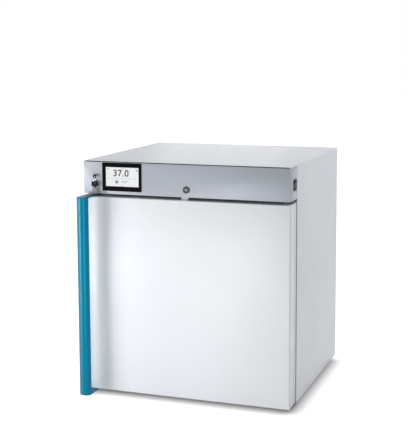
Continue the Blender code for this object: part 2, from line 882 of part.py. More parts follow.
# Air plenum
def build_air_system(paint):
    """The baffle, the impeller on its shaft, the motor, the heater and the probe."""
    front = CHAMBER_BACK - PLENUM
    low = CHAMBER_FLOOR + BAFFLE_MARGIN
    high = CHAMBER_TOP - BAFFLE_MARGIN
    baffle = box(
        "air_baffle",
        (-BAFFLE_HALF, front, low),
        (BAFFLE_HALF, CHAMBER_BACK - GAP, high),
        paint["steel"],
    )
    hollow = box(
        "cut_baffle_hollow",
        (CHAMBER_WALL - BAFFLE_HALF, front + CHAMBER_WALL, low - CHAMBER_WALL),
        (BAFFLE_HALF - CHAMBER_WALL, CHAMBER_BACK + CHAMBER_WALL, high + CHAMBER_WALL),
    )
    intake = []
    for ring_radius, count in INTAKE_RINGS:
        for step in range(count):
            angle = 2 * math.pi * step / count
            x = ring_radius * math.cos(angle)
            z = CHAMBER_MIDDLE + ring_radius * math.sin(angle)
            intake.append(((x, front - CHAMBER_WALL, z), (x, front + 3 * CHAMBER_WALL, z)))
    grille = rods("cut_baffle_intake", intake, INTAKE_HOLE, sides=6)
    outlets = []
    pitch = (high - low - 3 * OUTLET_HEIGHT) / (OUTLETS - 1)
    for side in (-1, 1):
        edges = sorted((side * (BAFFLE_HALF - 3 * CHAMBER_WALL), side * (BAFFLE_HALF + CHAMBER_WALL)))
        for row in range(OUTLETS):
            height = low + OUTLET_HEIGHT + row * pitch
            outlets.append(
                (
                    (edges[0], front + OUTLET_EDGE, height),
                    (edges[1], CHAMBER_BACK - OUTLET_EDGE, height + OUTLET_HEIGHT),
                )
            )
    cut(baffle, hollow, grille, boxes("cut_baffle_outlets", outlets))

    build_impeller(paint)

    turned(
        "fan_motor",
        [
            (SHAFT_RADIUS + GAP, MOTOR_LENGTH),
            (MOTOR_RADIUS - MOTOR_EDGE, MOTOR_LENGTH),
            (MOTOR_RADIUS, MOTOR_LENGTH - MOTOR_EDGE),
            (MOTOR_RADIUS, MOTOR_EDGE),
            (MOTOR_RADIUS + MOTOR_FLANGE, MOTOR_EDGE),
            (MOTOR_RADIUS + MOTOR_FLANGE, 0.0),
            (SHAFT_RADIUS + GAP, 0.0),
        ],
        (0.0, BACK_SHEET_BACK + GAP, CHAMBER_MIDDLE),
        (0.0, 1.0, 0.0),
        paint["zinc"],
        steps=24,
        closed=True,
    )

    bends = 20
    loop = [
        (
            HEATER_RADIUS * math.cos(math.radians(angle)),
            CHAMBER_BACK - PLENUM / 2,
            CHAMBER_MIDDLE + HEATER_RADIUS * math.sin(math.radians(angle)),
        )
        for angle in [
            270 + HEATER_OPEN + (360 - 2 * HEATER_OPEN) * step / bends
            for step in range(bends + 1)
        ]
    ]
    first = loop[0]
    last = loop[-1]
    wall = CHAMBER_BACK - GAP
    tube(
        "heater_ring",
        [(first[0], wall, first[2])] + loop + [(last[0], wall, last[2])],
        HEATER_TUBE,
        paint["zinc"],
        resolution=1,
    )

    probe = rods(
        "temperature_sensor",
        [
            (
                (PROBE_X, CHAMBER_BACK - PROBE_REACH, PROBE_Z),
                (PROBE_X, BACK_SHEET_BACK, PROBE_Z),
            )
        ],
        PROBE_RADIUS,
        paint["steel"],
        sides=12,
    )
    collar = rods(
        "join_probe_collar",
        [
            (
                (PROBE_X, CHAMBER_BACK - PROBE_COLLAR, PROBE_Z),
                (PROBE_X, CHAMBER_BACK - GAP, PROBE_Z),
            )
        ],
        PROBE_RADIUS * 3,
        sides=12,
    )
    join(probe, collar)


def build_impeller(paint):
    """A radial impeller: back disc, swept blades, front ring, hub and shaft."""
    back = CHAMBER_BACK - IMPELLER_CLEAR
    front = back - IMPELLER_DEPTH
    disc = IMPELLER_DISC
    shaft_end = front - BACK_SHEET_BACK - MOTOR_LENGTH * 0.8
    rotor = turned(
        "fan_rotor",
        [
            (0.0, 0.0),
            (HUB_RADIUS * 0.6, 0.0),
            (HUB_RADIUS, -0.004),
            (HUB_RADIUS, disc - IMPELLER_DEPTH),
            (IMPELLER_RADIUS, disc - IMPELLER_DEPTH),
            (IMPELLER_RADIUS, -IMPELLER_DEPTH),
            (SHAFT_RADIUS, -IMPELLER_DEPTH),
            (SHAFT_RADIUS, shaft_end),
            (0.0, shaft_end),
        ],
        (0.0, front, CHAMBER_MIDDLE),
        (0.0, -1.0, 0.0),
        paint["steel"],
        steps=24,
    )
    blades = [
        blade_outline(2 * math.pi * number / BLADE_COUNT) for number in range(BLADE_COUNT)
    ]
    vanes = flat("join_rotor_blades", blades, "Y", front, back - disc / 2)
    ring = turned(
        "join_rotor_ring",
        [
            (IMPELLER_RADIUS, disc),
            (IMPELLER_RADIUS, 0.0),
            (IMPELLER_RADIUS * 0.70, 0.0),
            (IMPELLER_RADIUS * 0.70, disc),
        ],
        (0.0, front + disc / 2, CHAMBER_MIDDLE),
        (0.0, -1.0, 0.0),
        steps=24,
        closed=True,
    )
    join(rotor, vanes, ring)


def blade_outline(start):
    """One backward-swept blade, as a bent strip in the fan's own plane."""
    steps = 3
    inner = HUB_RADIUS * 2.0
    outer = IMPELLER_RADIUS - BLADE_THICKNESS / 2
    one_side = []
    other_side = []
    for step in range(steps + 1):
        share = step / steps
        radius = inner + (outer - inner) * share
        angle = start - BLADE_SWEEP * share**1.3
        half = BLADE_THICKNESS / 2 / radius
        for side, points in ((1, one_side), (-1, other_side)):
            bend = angle + side * half * 1.25
            x = radius * math.cos(bend)
            z = CHAMBER_MIDDLE + radius * math.sin(bend)
            points.append((x, z))
    return one_side + other_side[::-1]


# Port and mains inlet at the rear
def build_rear_fittings(paint):
    """The access port with its plug, and the recessed mains inlet."""
    length = REAR_FACE + GAP - CHAMBER_BACK
    bore = PORT_BORE
    outside = PORT_BORE + PORT_WALL
    turned(
        "port_sleeve",
        [
            (bore, length + PORT_RIM),
            (PORT_FLANGE, length + PORT_RIM),
            (PORT_FLANGE, length),
            (outside, length),
            (outside, 0.0),
            (bore, 0.0),
        ],
        (PORT_X, CHAMBER_BACK, PORT_Z),
        (0.0, 1.0, 0.0),
        paint["steel"],
        closed=True,
    )
    seat = REAR_FACE + GAP + PORT_RIM + GAP
    head = REAR_FACE + PLUG_HEAD - seat
    rim = bore + PLUG_OVERHANG
    turned(
        "port_plug",
        [
            (0.0, head),
            (rim - 0.002, head),
            (rim, head - 0.002),
            (rim, 0.0),
            (bore - GAP, 0.0),
            (bore - 0.002, -PORT_PLUG_LENGTH),
            (0.0, -PORT_PLUG_LENGTH),
        ],
        (PORT_X, seat, PORT_Z),
        (0.0, 1.0, 0.0),
        paint["silicone"],
    )
    build_inlet(paint)


def build_inlet(paint):
    """The mains inlet: a body behind its flange, with a recess and three pins."""
    inner = REAR_FACE - INLET_DEPTH
    inlet = box(
        "mains_inlet",
        (INLET_X - INLET_HALF, inner, INLET_Z - INLET_HEIGHT / 2),
        (INLET_X + INLET_HALF, REAR_FACE + GAP * 2, INLET_Z + INLET_HEIGHT / 2),
        paint["black"],
    )
    plate_half, plate_rise = INLET_PLATE
    face = flat(
        "join_inlet_flange",
        [
            rounded(
                (INLET_X - plate_half, INLET_Z - plate_rise),
                (INLET_X + plate_half, INLET_Z + plate_rise),
                INLET_ROUND,
            )
        ],
        "Y",
        REAR_FACE + GAP,
        REAR_FACE + GAP + INLET_FLANGE,
    )
    half, rise = INLET_MOUTH
    corner = INLET_CORNER
    recess = flat(
        "cut_inlet_recess",
        [
            [
                (INLET_X - half, INLET_Z - rise),
                (INLET_X + half, INLET_Z - rise),
                (INLET_X + half, INLET_Z + rise - corner),
                (INLET_X + half - corner, INLET_Z + rise),
                (INLET_X - half + corner, INLET_Z + rise),
                (INLET_X - half, INLET_Z + rise - corner),
            ]
        ],
        "Y",
        inner + INLET_FLOOR,
        REAR_FACE + 2 * INLET_FLANGE,
    )
    pin_half, pin_rise = INLET_PIN
    pins = boxes(
        "join_inlet_pins",
        [
            (
                (INLET_X + x - pin_half, inner + INLET_FLOOR / 2, INLET_Z + z - pin_rise),
                (INLET_X + x + pin_half, REAR_FACE - INLET_FLOOR, INLET_Z + z + pin_rise),
            )
            for x, z in INLET_PINS
        ],
    )
    join(inlet, face)
    cut(inlet, recess)
    join(inlet, pins)


def build_electronics(paint):
    """The controller board on its standoffs and the boxed power supply."""
    floor = COMPARTMENT_FLOOR + SHEET + GAP
    front = CABINET_FRONT + BAY_SET_BACK
    board_top = floor + BOARD_RISE + BOARD_THICKNESS
    board = box(
        "control_board",
        (BOARD_LEFT, front, floor + BOARD_RISE),
        (BOARD_LEFT + BOARD_WIDTH, front + BOARD_DEPTH, board_top),
        paint["board"],
    )
    inset = STANDOFF_INSET
    standoffs = rods(
        "join_board_standoffs",
        [
            ((x, y, floor), (x, y, board_top - BOARD_THICKNESS / 2))
            for x in (BOARD_LEFT + inset, BOARD_LEFT + BOARD_WIDTH - inset)
            for y in (front + inset, front + BOARD_DEPTH - inset)
        ],
        STANDOFF_RADIUS,
        sides=8,
    )
    bite = BOARD_THICKNESS / 2
    parts = boxes(
        "join_board_parts",
        [
            (
                (BOARD_LEFT + BOARD_WIDTH * x, front + BOARD_DEPTH * y, board_top - bite),
                (
                    BOARD_LEFT + BOARD_WIDTH * (x + wide),
                    front + BOARD_DEPTH * (y + deep),
                    board_top + tall,
                ),
            )
            for x, y, wide, deep, tall in BOARD_PARTS
        ],
    )
    join(board, standoffs, parts)

    left = SUPPLY_RIGHT - SUPPLY_WIDTH
    supply = box(
        "power_supply",
        (left, front, floor),
        (SUPPLY_RIGHT, front + SUPPLY_DEPTH, floor + SUPPLY_HEIGHT),
        paint["zinc"],
    )
    margin = (SUPPLY_DEPTH - SUPPLY_SLOTS * SUPPLY_SLOT_PITCH) / 2
    slots = boxes(
        "cut_supply_slots",
        [
            (
                (
                    left + margin,
                    front + margin + SUPPLY_SLOT_PITCH * row,
                    floor + SUPPLY_HEIGHT - SUPPLY_SLOT_DEPTH,
                ),
                (
                    SUPPLY_RIGHT - margin,
                    front + margin + SUPPLY_SLOT_PITCH * row + SUPPLY_SLOT,
                    floor + SUPPLY_HEIGHT + SUPPLY_SLOT_DEPTH,
                ),
            )
            for row in range(SUPPLY_SLOTS)
        ],
    )
    cut(supply, slots)


# Fascia and what it carries
def build_fascia(paint):
    """The folded control panel with its openings."""
    wall = FASCIA_SHEET
    back = CABINET_FRONT - GAP
    fascia = box(
        "control_fascia",
        (-HALF, FRONT, FASCIA_BOTTOM),
        (HALF, back, FASCIA_TOP),
        paint["grey"],
        rounding=0.0012,
        steps=2,
    )
    hollow = box(
        "cut_fascia_hollow",
        (wall - HALF, FRONT + wall, FASCIA_BOTTOM + wall),
        (HALF - wall, back + 0.01, FASCIA_TOP - wall),
    )
    collar_width = SCREEN_WIDTH / 2 + GLASS_BORDER + GAP + BEZEL_COLLAR + GAP
    collar_height = SCREEN_HEIGHT / 2 + GLASS_BORDER + GAP + BEZEL_COLLAR + GAP
    window = box(
        "cut_fascia_display",
        (DISPLAY_X - collar_width, FRONT - 0.01, DISPLAY_Z - collar_height),
        (DISPLAY_X + collar_width, FRONT + 0.01, DISPLAY_Z + collar_height),
    )
    lock = rods(
        "cut_fascia_lock",
        [((LOCK_X, FRONT - 0.01, LOCK_Z), (LOCK_X, FRONT + 0.01, LOCK_Z))],
        LOCK_BARREL + GAP,
    )
    cam_front = FRONT + LOCK_LENGTH + GAP
    clear = 0.001
    cam_slot = box(
        "cut_fascia_cam_slot",
        (LOCK_X - CAM_HALF_WIDTH - clear, cam_front - clear, FASCIA_BOTTOM - 0.01),
        (
            LOCK_X + CAM_REACH - 0.006,
            cam_front + CAM_THICKNESS + 2 * clear,
            FASCIA_BOTTOM + 2 * wall,
        ),
    )
    stem_height = PEG_Z + PEG_STEM_RISE
    peg = rods(
        "cut_fascia_peg",
        [((PEG_X, FRONT - 0.01, stem_height), (PEG_X, FRONT + 0.01, stem_height))],
        PEG_STEM + GAP,
        sides=12,
    )
    rocker_y = FRONT + ROCKER_FROM_FRONT
    rocker_wide, rocker_tall = rocker_collar()
    rocker = box(
        "cut_fascia_rocker",
        (HALF - 0.01, rocker_y - rocker_wide - GAP, ROCKER_Z - rocker_tall - GAP),
        (HALF + 0.01, rocker_y + rocker_wide + GAP, ROCKER_Z + rocker_tall + GAP),
    )
    cut(fascia, hollow, window, lock, cam_slot, peg, rocker)


def build_display(paint):
    """The bezel with its collar, the glass and the module behind it."""
    glass_wide = SCREEN_WIDTH / 2 + GLASS_BORDER
    glass_tall = SCREEN_HEIGHT / 2 + GLASS_BORDER
    inner_wide = glass_wide + GAP
    inner_tall = glass_tall + GAP
    outer_wide = inner_wide + BEZEL_COLLAR
    outer_tall = inner_tall + BEZEL_COLLAR
    face = FRONT - BEZEL_PROUD
    bezel = flat(
        "display_bezel",
        [
            rounded(
                (DISPLAY_X - DISPLAY_WIDTH / 2, DISPLAY_Z - DISPLAY_HEIGHT / 2),
                (DISPLAY_X + DISPLAY_WIDTH / 2, DISPLAY_Z + DISPLAY_HEIGHT / 2),
                0.002,
                2,
            )
        ],
        "Y",
        face,
        FRONT - GAP,
        paint["bezel"],
    )
    collar = box(
        "join_bezel_collar",
        (DISPLAY_X - outer_wide, FRONT - 0.001, DISPLAY_Z - outer_tall),
        (DISPLAY_X + outer_wide, FRONT + 0.005, DISPLAY_Z + outer_tall),
    )
    pocket = box(
        "cut_bezel_pocket",
        (DISPLAY_X - inner_wide, face + BEZEL_LIP, DISPLAY_Z - inner_tall),
        (DISPLAY_X + inner_wide, FRONT + 0.01, DISPLAY_Z + inner_tall),
    )
    window = box(
        "cut_bezel_window",
        (DISPLAY_X - SCREEN_WIDTH / 2, face - 0.01, DISPLAY_Z - SCREEN_HEIGHT / 2),
        (DISPLAY_X + SCREEN_WIDTH / 2, FRONT + 0.01, DISPLAY_Z + SCREEN_HEIGHT / 2),
    )
    join(bezel, collar)
    cut(bezel, pocket, window)
    glass_front = face + BEZEL_LIP + GAP
    glass_back = glass_front + GLASS_THICKNESS
    box(
        "display_glass",
        (DISPLAY_X - glass_wide, glass_front, DISPLAY_Z - glass_tall),
        (DISPLAY_X + glass_wide, glass_back, DISPLAY_Z + glass_tall),
        paint["glass"],
    )
    box(
        "display_module",
        (DISPLAY_X - glass_wide, glass_back + GAP, DISPLAY_Z - glass_tall),
        (DISPLAY_X + glass_wide, glass_back + GAP + MODULE_DEPTH, DISPLAY_Z + glass_tall),
        paint["board"],
    )


def build_lock(paint):
    """The cam lock: a flanged housing with its nut, and the plug that turns the cam."""
    turned(
        "lock_housing",
        [
            (LOCK_PLUG + GAP, LOCK_RIM + GAP),
            (LOCK_FLANGE - LOCK_RIM / 2, LOCK_RIM + GAP),
            (LOCK_FLANGE, LOCK_RIM / 2 + GAP),
            (LOCK_FLANGE, GAP),
            (LOCK_BARREL, GAP),
            (LOCK_BARREL, -LOCK_LENGTH),
            (LOCK_PLUG + GAP, -LOCK_LENGTH),
        ],
        (LOCK_X, FRONT, LOCK_Z),
        (0.0, -1.0, 0.0),
        paint["steel"],
        closed=True,
    )
    nut_outline = circle((LOCK_X, LOCK_Z), LOCK_BARREL * 1.6, 6)
    flat(
        "lock_nut",
        [nut_outline, circle((LOCK_X, LOCK_Z), LOCK_BARREL + GAP)],
        "Y",
        FRONT + FASCIA_SHEET + GAP,
        FRONT + FASCIA_SHEET + GAP + LOCK_NUT,
        paint["zinc"],
    )
    cam_front = LOCK_LENGTH + GAP
    cam_back = cam_front + CAM_THICKNESS
    plug = turned(
        "lock_plug",
        [
            (0.0, 0.0012),
            (LOCK_PLUG - 0.0005, 0.0012),
            (LOCK_PLUG, 0.0007),
            (LOCK_PLUG, -LOCK_LENGTH),
            (CAM_PIN, -LOCK_LENGTH),
            (CAM_PIN, -cam_back - GAP),
            (LOCK_PLUG, -cam_back - GAP),
            (LOCK_PLUG, -cam_back - 0.002),
            (0.0, -cam_back - 0.002),
        ],
        (LOCK_X, FRONT, LOCK_Z),
        (0.0, -1.0, 0.0),
        paint["steel"],
    )
    slot = box(
        "cut_key_slot",
        (LOCK_X - KEY_SLOT[0], FRONT - 0.01, LOCK_Z - KEY_SLOT[1]),
        (LOCK_X + KEY_SLOT[0], FRONT + 0.004, LOCK_Z + KEY_SLOT[1]),
    )
    cut(plug, slot)
    hub = CAM_HALF_WIDTH * 1.4
    arm = arc((LOCK_X, LOCK_Z), hub, 46, 314, 12)
    tip = LOCK_X + CAM_REACH - CAM_HALF_WIDTH
    arm += arc((tip, LOCK_Z), CAM_HALF_WIDTH, -90, 90, 6)
    cam = flat(
        "lock_cam",
        [arm, circle((LOCK_X, LOCK_Z), CAM_PIN + GAP, 16)],
        "Y",
        FRONT + cam_front,
        FRONT + cam_back,
        paint["zinc"],
    )
    put_origin(cam, (LOCK_X, FRONT + cam_front, LOCK_Z))


def build_keys(paint):
    """The eye peg, the ring through it and two keys that hang from the ring."""
    eye_back = FRONT - EYE_REACH + EYE_THICKNESS
    hole = (PEG_X, PEG_Z - PEG_HOLE_DROP)
    peg = flat(
        "key_peg",
        [circle((PEG_X, PEG_Z), EYE_RADIUS, 20), circle(hole, EYE_HOLE, 14)],
        "Y",
        FRONT - EYE_REACH,
        eye_back,
        paint["black"],
    )
    stem = rods(
        "join_peg_stem",
        [
            (
                (PEG_X, eye_back - 0.001, PEG_Z + PEG_STEM_RISE),
                (PEG_X, FRONT + FASCIA_SHEET + 0.003, PEG_Z + PEG_STEM_RISE),
            )
        ],
        PEG_STEM,
        sides=12,
    )
    join(peg, stem)

    middle = FRONT - EYE_REACH + EYE_THICKNESS / 2
    ring_top = hole[1] - EYE_HOLE + RING_WIRE + GAP
    ring_centre = ring_top - RING_RADIUS
    path = [
        (
            PEG_X,
            middle + RING_RADIUS * math.cos(angle),
            ring_centre + RING_RADIUS * math.sin(angle),
        )
        for angle in [2 * math.pi * step / 18 for step in range(18)]
    ]
    ring = tube("key_ring", path, RING_WIRE, paint["steel"], cyclic=True, resolution=1)
    put_origin(ring, (PEG_X, middle, ring_top))

    pivot = ring_centre - RING_RADIUS
    layers = (
        ("front", middle - KEY_THICKNESS - GAP, 1),
        ("rear", middle + GAP, -1),
    )
    for name, near, side in layers:
        build_key(name, near, side, pivot, paint)


def build_key(name, near, side, pivot, paint):
    """One key with a moulded bow and a notched steel blade, turned about the ring."""
    far = near + KEY_THICKNESS
    rest = (KEY_HOLE - RING_WIRE) / 2
    hole = (0.0, -rest)
    bow_top = hole[1] + KEY_HOLE + 0.0022
    bow_bottom = bow_top - KEY_BOW_HEIGHT
    half = KEY_BOW_WIDTH / 2
    bow = flat(
        "key_%s_bow" % name,
        [rounded((-half, bow_bottom), (half, bow_top), 0.004), circle(hole, KEY_HOLE, 16)],
        "Y",
        near,
        far,
        paint["black"],
    )
    blade_half = KEY_BLADE_WIDTH / 2
    tip = bow_bottom - GAP - KEY_BLADE_LENGTH
    outline = [(blade_half, bow_bottom - GAP), (-blade_half, bow_bottom - GAP)]
    outline += [(-blade_half, tip + 0.002), (0.0, tip), (blade_half * 0.8, tip + 0.002)]
    for tooth in range(KEY_TEETH):
        base = tip + 0.003 + tooth * KEY_TOOTH_PITCH
        outline += [(blade_half, base), (blade_half - 0.0012, base + KEY_TOOTH_PITCH / 2)]
    outline += [(blade_half, tip + 0.003 + KEY_TEETH * KEY_TOOTH_PITCH)]
    inset = KEY_THICKNESS * 0.15
    blade = flat("key_%s_blade" % name, [outline], "Y", near + inset, far - inset, paint["steel"])
    for piece in (bow, blade):
        turn_in_front(piece, (PEG_X, pivot), side * KEY_TILT)


def turn_in_front(piece, centre, angle):
    """Moves a piece drawn about the origin to its pivot and turns it in the front plane."""
    depth = piece.matrix_basis.translation.y
    drawn = Matrix.Rotation(math.pi / 2, 4, "X")
    piece.matrix_basis = (
        Matrix.Translation((centre[0], depth, centre[1]))
        @ Matrix.Rotation(angle, 4, "Y")
        @ drawn
    )


def rocker_collar():
    """Half the width and half the height of the rocker's collar."""
    return (
        ROCKER_CAP_WIDTH / 2 + GAP + ROCKER_WALL,
        ROCKER_CAP_HEIGHT / 2 + ROCKER_TOP_ROOM + ROCKER_WALL,
    )


def build_rocker(paint):
    """The mains switch: a snap-in frame and the rocker that tilts in it."""
    y = FRONT + ROCKER_FROM_FRONT
    wide, tall = rocker_collar()
    face = HALF + GAP
    frame = box(
        "rocker_frame",
        (face, y - ROCKER_WIDTH / 2, ROCKER_Z - ROCKER_HEIGHT / 2),
        (face + ROCKER_FRAME, y + ROCKER_WIDTH / 2, ROCKER_Z + ROCKER_HEIGHT / 2),
        paint["black"],
        rounding=0.0005,
        steps=1,
    )
    body = box(
        "join_rocker_body",
        (HALF - ROCKER_BODY, y - wide, ROCKER_Z - tall),
        (face + ROCKER_FRAME / 2, y + wide, ROCKER_Z + tall),
    )
    wall = ROCKER_WALL
    well = box(
        "cut_rocker_well",
        (HALF - ROCKER_WELL, y - wide + wall, ROCKER_Z - tall + wall),
        (HALF + 0.01, y + wide - wall, ROCKER_Z + tall - wall),
    )
    join(frame, body)
    cut(frame, well)

    pivot = HALF - ROCKER_PIVOT_DEPTH
    reach = ROCKER_PIVOT_DEPTH + ROCKER_WALL
    half = ROCKER_CAP_HEIGHT / 2
    valley = math.tan(ROCKER_TILT) * half
    section = [
        (reach, 0.0),
        (reach + valley, half),
        (0.002, half),
        (-0.004, half * 0.35),
        (-0.004, -half * 0.35),
        (0.002, -half),
        (reach + valley, -half),
    ]
    side = ROCKER_CAP_WIDTH / 2
    cap = flat("rocker_cap", [section], "Y", y - side, y + side, paint["black"])
    turn_in_front(cap, (pivot, ROCKER_Z), ROCKER_TILT)


# Hinge
def build_hinge(paint):
    """A bracket with a pin above the door, one below it, and the bushes in the door."""
    half = HINGE_WIDTH / 2
    nose = PIVOT_Y - HINGE_NOSE
    tail = FRAME_BACK + HINGE_TAIL
    places = (
        ("top", TOP_PLATE_BASE, -1, DOOR_TOP),
        ("bottom", BODY_BOTTOM - GAP - HINGE_PLATE, 1, DOOR_BOTTOM),
    )
    for name, base, way, door_edge in places:
        outline = [(PIVOT_X + half, tail), (PIVOT_X - half, tail)]
        outline += arc((PIVOT_X, nose + half), half, 180, 360, 8)
        bracket = flat(
            "hinge_bracket_" + name, [outline], "Z", base, base + HINGE_PLATE, paint["zinc"]
        )
        pin = rods(
            "join_hinge_pin_" + name,
            [
                (
                    (PIVOT_X, PIVOT_Y, base + HINGE_PLATE / 2),
                    (PIVOT_X, PIVOT_Y, door_edge + way * PIN_LENGTH),
                )
            ],
            PIN_RADIUS,
            sides=16,
        )
        join(bracket, pin)
        inner = PIN_RADIUS + GAP
        outer = BUSH_RADIUS
        end = BUSH_LENGTH
        turned(
            "hinge_bush_" + name,
            [
                (inner, 0.0),
                (outer + BUSH_COLLAR_WIDTH, 0.0),
                (outer + BUSH_COLLAR_WIDTH, -BUSH_COLLAR),
                (outer, -BUSH_COLLAR),
                (outer, -end),
                (0.0, -end),
                (0.0, -end + 0.0012),
                (inner, -end + 0.0012),
            ],
            (PIVOT_X, PIVOT_Y, door_edge - way * (BUSH_COLLAR + GAP)),
            (0.0, 0.0, -way),
            paint["nylon"],
            steps=16,
            closed=True,
        )


# Door
def build_door(paint):
    """The outer pan, the stepped liner, the core, the seal and the strike."""
    pan = box(
        "door_outer_panel",
        (-HALF, FRONT, DOOR_BOTTOM),
        (HALF, FRONT + PAN_DEPTH, DOOR_TOP),
        paint["door"],
        rounding=EDGE_ROUND,
        steps=3,
    )
    wall = PAN_WALL
    hollow = box(
        "cut_door_pan",
        (wall - HALF, FRONT + wall, DOOR_BOTTOM + wall),
        (HALF - wall, FRONT + PAN_DEPTH + 0.01, DOOR_TOP - wall),
        rounding=EDGE_ROUND - wall,
        steps=2,
    )
    bushes = rods(
        "cut_door_bushes",
        [
            ((PIVOT_X, PIVOT_Y, DOOR_BOTTOM - 0.01), (PIVOT_X, PIVOT_Y, DOOR_BOTTOM + 0.01)),
            ((PIVOT_X, PIVOT_Y, DOOR_TOP - 0.01), (PIVOT_X, PIVOT_Y, DOOR_TOP + 0.01)),
        ],
        BUSH_RADIUS + GAP,
        sides=16,
    )
    cut(pan, hollow, bushes)

    front = FRONT + PAN_DEPTH + GAP
    back = FRONT + LINER_BACK
    inset = LINER_INSET
    liner = box(
        "door_inner_liner",
        (inset - HALF, front, DOOR_BOTTOM + inset),
        (HALF - inset, back, DOOR_TOP - inset),
        paint["white"],
        rounding=LINER_ROUND,
        steps=2,
    )
    plug_half = CHAMBER_HALF - PLUG_CLEAR
    plug_low = CHAMBER_FLOOR + PLUG_CLEAR
    plug_high = CHAMBER_TOP - PLUG_CLEAR
    raised = flat(
        "join_liner_plug",
        [rounded((-plug_half, plug_low), (plug_half, plug_high), PLUG_ROUND, 4)],
        "Y",
        front + 0.005,
        FRONT + PLUG_REACH,
    )
    thick = LINER_WALL
    step_hollow = box(
        "cut_liner_step",
        (inset + thick - HALF, front - 0.01, DOOR_BOTTOM + inset + thick),
        (HALF - inset - thick, back - thick, DOOR_TOP - inset - thick),
    )
    plug_hollow = flat(
        "cut_liner_plug",
        [
            rounded(
                (thick - plug_half, plug_low + thick),
                (plug_half - thick, plug_high - thick),
                PLUG_ROUND - thick,
                4,
            )
        ],
        "Y",
        front - 0.01,
        FRONT + PLUG_REACH - thick,
    )
    join(liner, raised)
    cut(liner, step_hollow, plug_hollow)

    margin = thick + inset + GAP
    core = box(
        "door_insulation",
        (margin - HALF, FRONT + wall + GAP, DOOR_BOTTOM + margin),
        (HALF - margin, back - thick - GAP, DOOR_TOP - margin),
        paint["wool"],
    )
    core_plug = flat(
        "join_core_plug",
        [
            rounded(
                (thick + GAP - plug_half, plug_low + thick + GAP),
                (plug_half - thick - GAP, plug_high - thick - GAP),
                PLUG_ROUND - thick - GAP,
                4,
            )
        ],
        "Y",
        back - 0.010,
        FRONT + PLUG_REACH - thick - GAP,
    )
    round_core = EDGE_ROUND - wall
    round_edges(core, round_core, 1)
    bush_room = rods(
        "cut_core_bushes",
        [
            (
                (PIVOT_X, PIVOT_Y, DOOR_BOTTOM - 0.01),
                (PIVOT_X, PIVOT_Y, DOOR_BOTTOM + BUSH_LENGTH + BUSH_ROOM),
            ),
            (
                (PIVOT_X, PIVOT_Y, DOOR_TOP - BUSH_LENGTH - BUSH_ROOM),
                (PIVOT_X, PIVOT_Y, DOOR_TOP + 0.01),
            ),
        ],
        BUSH_RADIUS + GAP,
        sides=16,
    )
    join(core, core_plug)
    cut(core, bush_room)

    seal_low = (GASKET_INSET - HALF, DOOR_BOTTOM + GASKET_INSET)
    seal_high = (HALF - GASKET_INSET, DOOR_TOP - GASKET_INSET)
    flat(
        "door_gasket",
        [
            rounded(seal_low, seal_high, GASKET_ROUND, 2),
            rounded(
                (seal_low[0] + GASKET_WIDTH, seal_low[1] + GASKET_WIDTH),
                (seal_high[0] - GASKET_WIDTH, seal_high[1] - GASKET_WIDTH),
                GASKET_ROUND / 2,
                2,
            ),
        ],
        "Y",
        back + GAP,
        CABINET_FRONT - GAP,
        paint["gasket"],
    )

    left = STRIKE_X - STRIKE_WIDTH / 2
    right = STRIKE_X + STRIKE_WIDTH / 2
    tab_back = FRONT + LOCK_LENGTH - 2 * GAP
    tab_front = tab_back - STRIKE_THICKNESS
    base = DOOR_TOP + GAP
    strike = box(
        "door_strike",
        (left, tab_front, base),
        (right, tab_back, base + STRIKE_HEIGHT),
        paint["white"],
    )
    half_sheet = STRIKE_THICKNESS / 2
    sole = box(
        "join_strike_sole",
        (left, tab_front - STRIKE_SOLE, base),
        (right, tab_front + half_sheet, base + half_sheet),
    )
    join(strike, sole)


def build_handle(paint):
    """The hollow curved grip and the plates that hold it above and below the door."""
    left = -HALF
    right = HANDLE_WIDTH - HALF
    middle = (left + right) / 2
    front = FRONT - HANDLE_REACH
    back = front + HANDLE_DEPTH
    wall = HANDLE_WALL
    corner = HANDLE_ROUND
    half = HANDLE_WIDTH / 2
    radius = (half**2 + HANDLE_BOW**2) / (2 * HANDLE_BOW)
    swing = math.degrees(math.asin(half / radius))
    bow = arc((middle, front + radius), radius, 270 - swing, 270 + swing, 10)
    outer = bow + arc((right - corner, back - corner), corner, 0, 90, 3)
    outer += arc((left + corner, back - corner), corner, 90, 180, 3)
    inside = swing * 0.84
    inset = corner + GAP
    inner = arc((middle, front + radius), radius - wall, 270 - inside, 270 + inside, 8)
    inner += arc((right - inset, back - inset), inset - wall, 0, 90, 2)
    inner += arc((left + inset, back - inset), inset - wall, 90, 180, 2)
    top = DOOR_TOP + GAP
    bottom = DOOR_BOTTOM - GAP
    flat("handle_profile", [outer, inner], "Z", bottom + GAP, top - GAP, paint["teal"])
    tail = FRONT + HANDLE_PLATE_TAIL
    outline = bow + [(right, tail), (left, tail)]
    for name, low in (("top", top), ("bottom", bottom - HANDLE_PLATE)):
        flat(
            "handle_%s_plate" % name, [outline], "Z", low, low + HANDLE_PLATE, paint["teal"]
        )


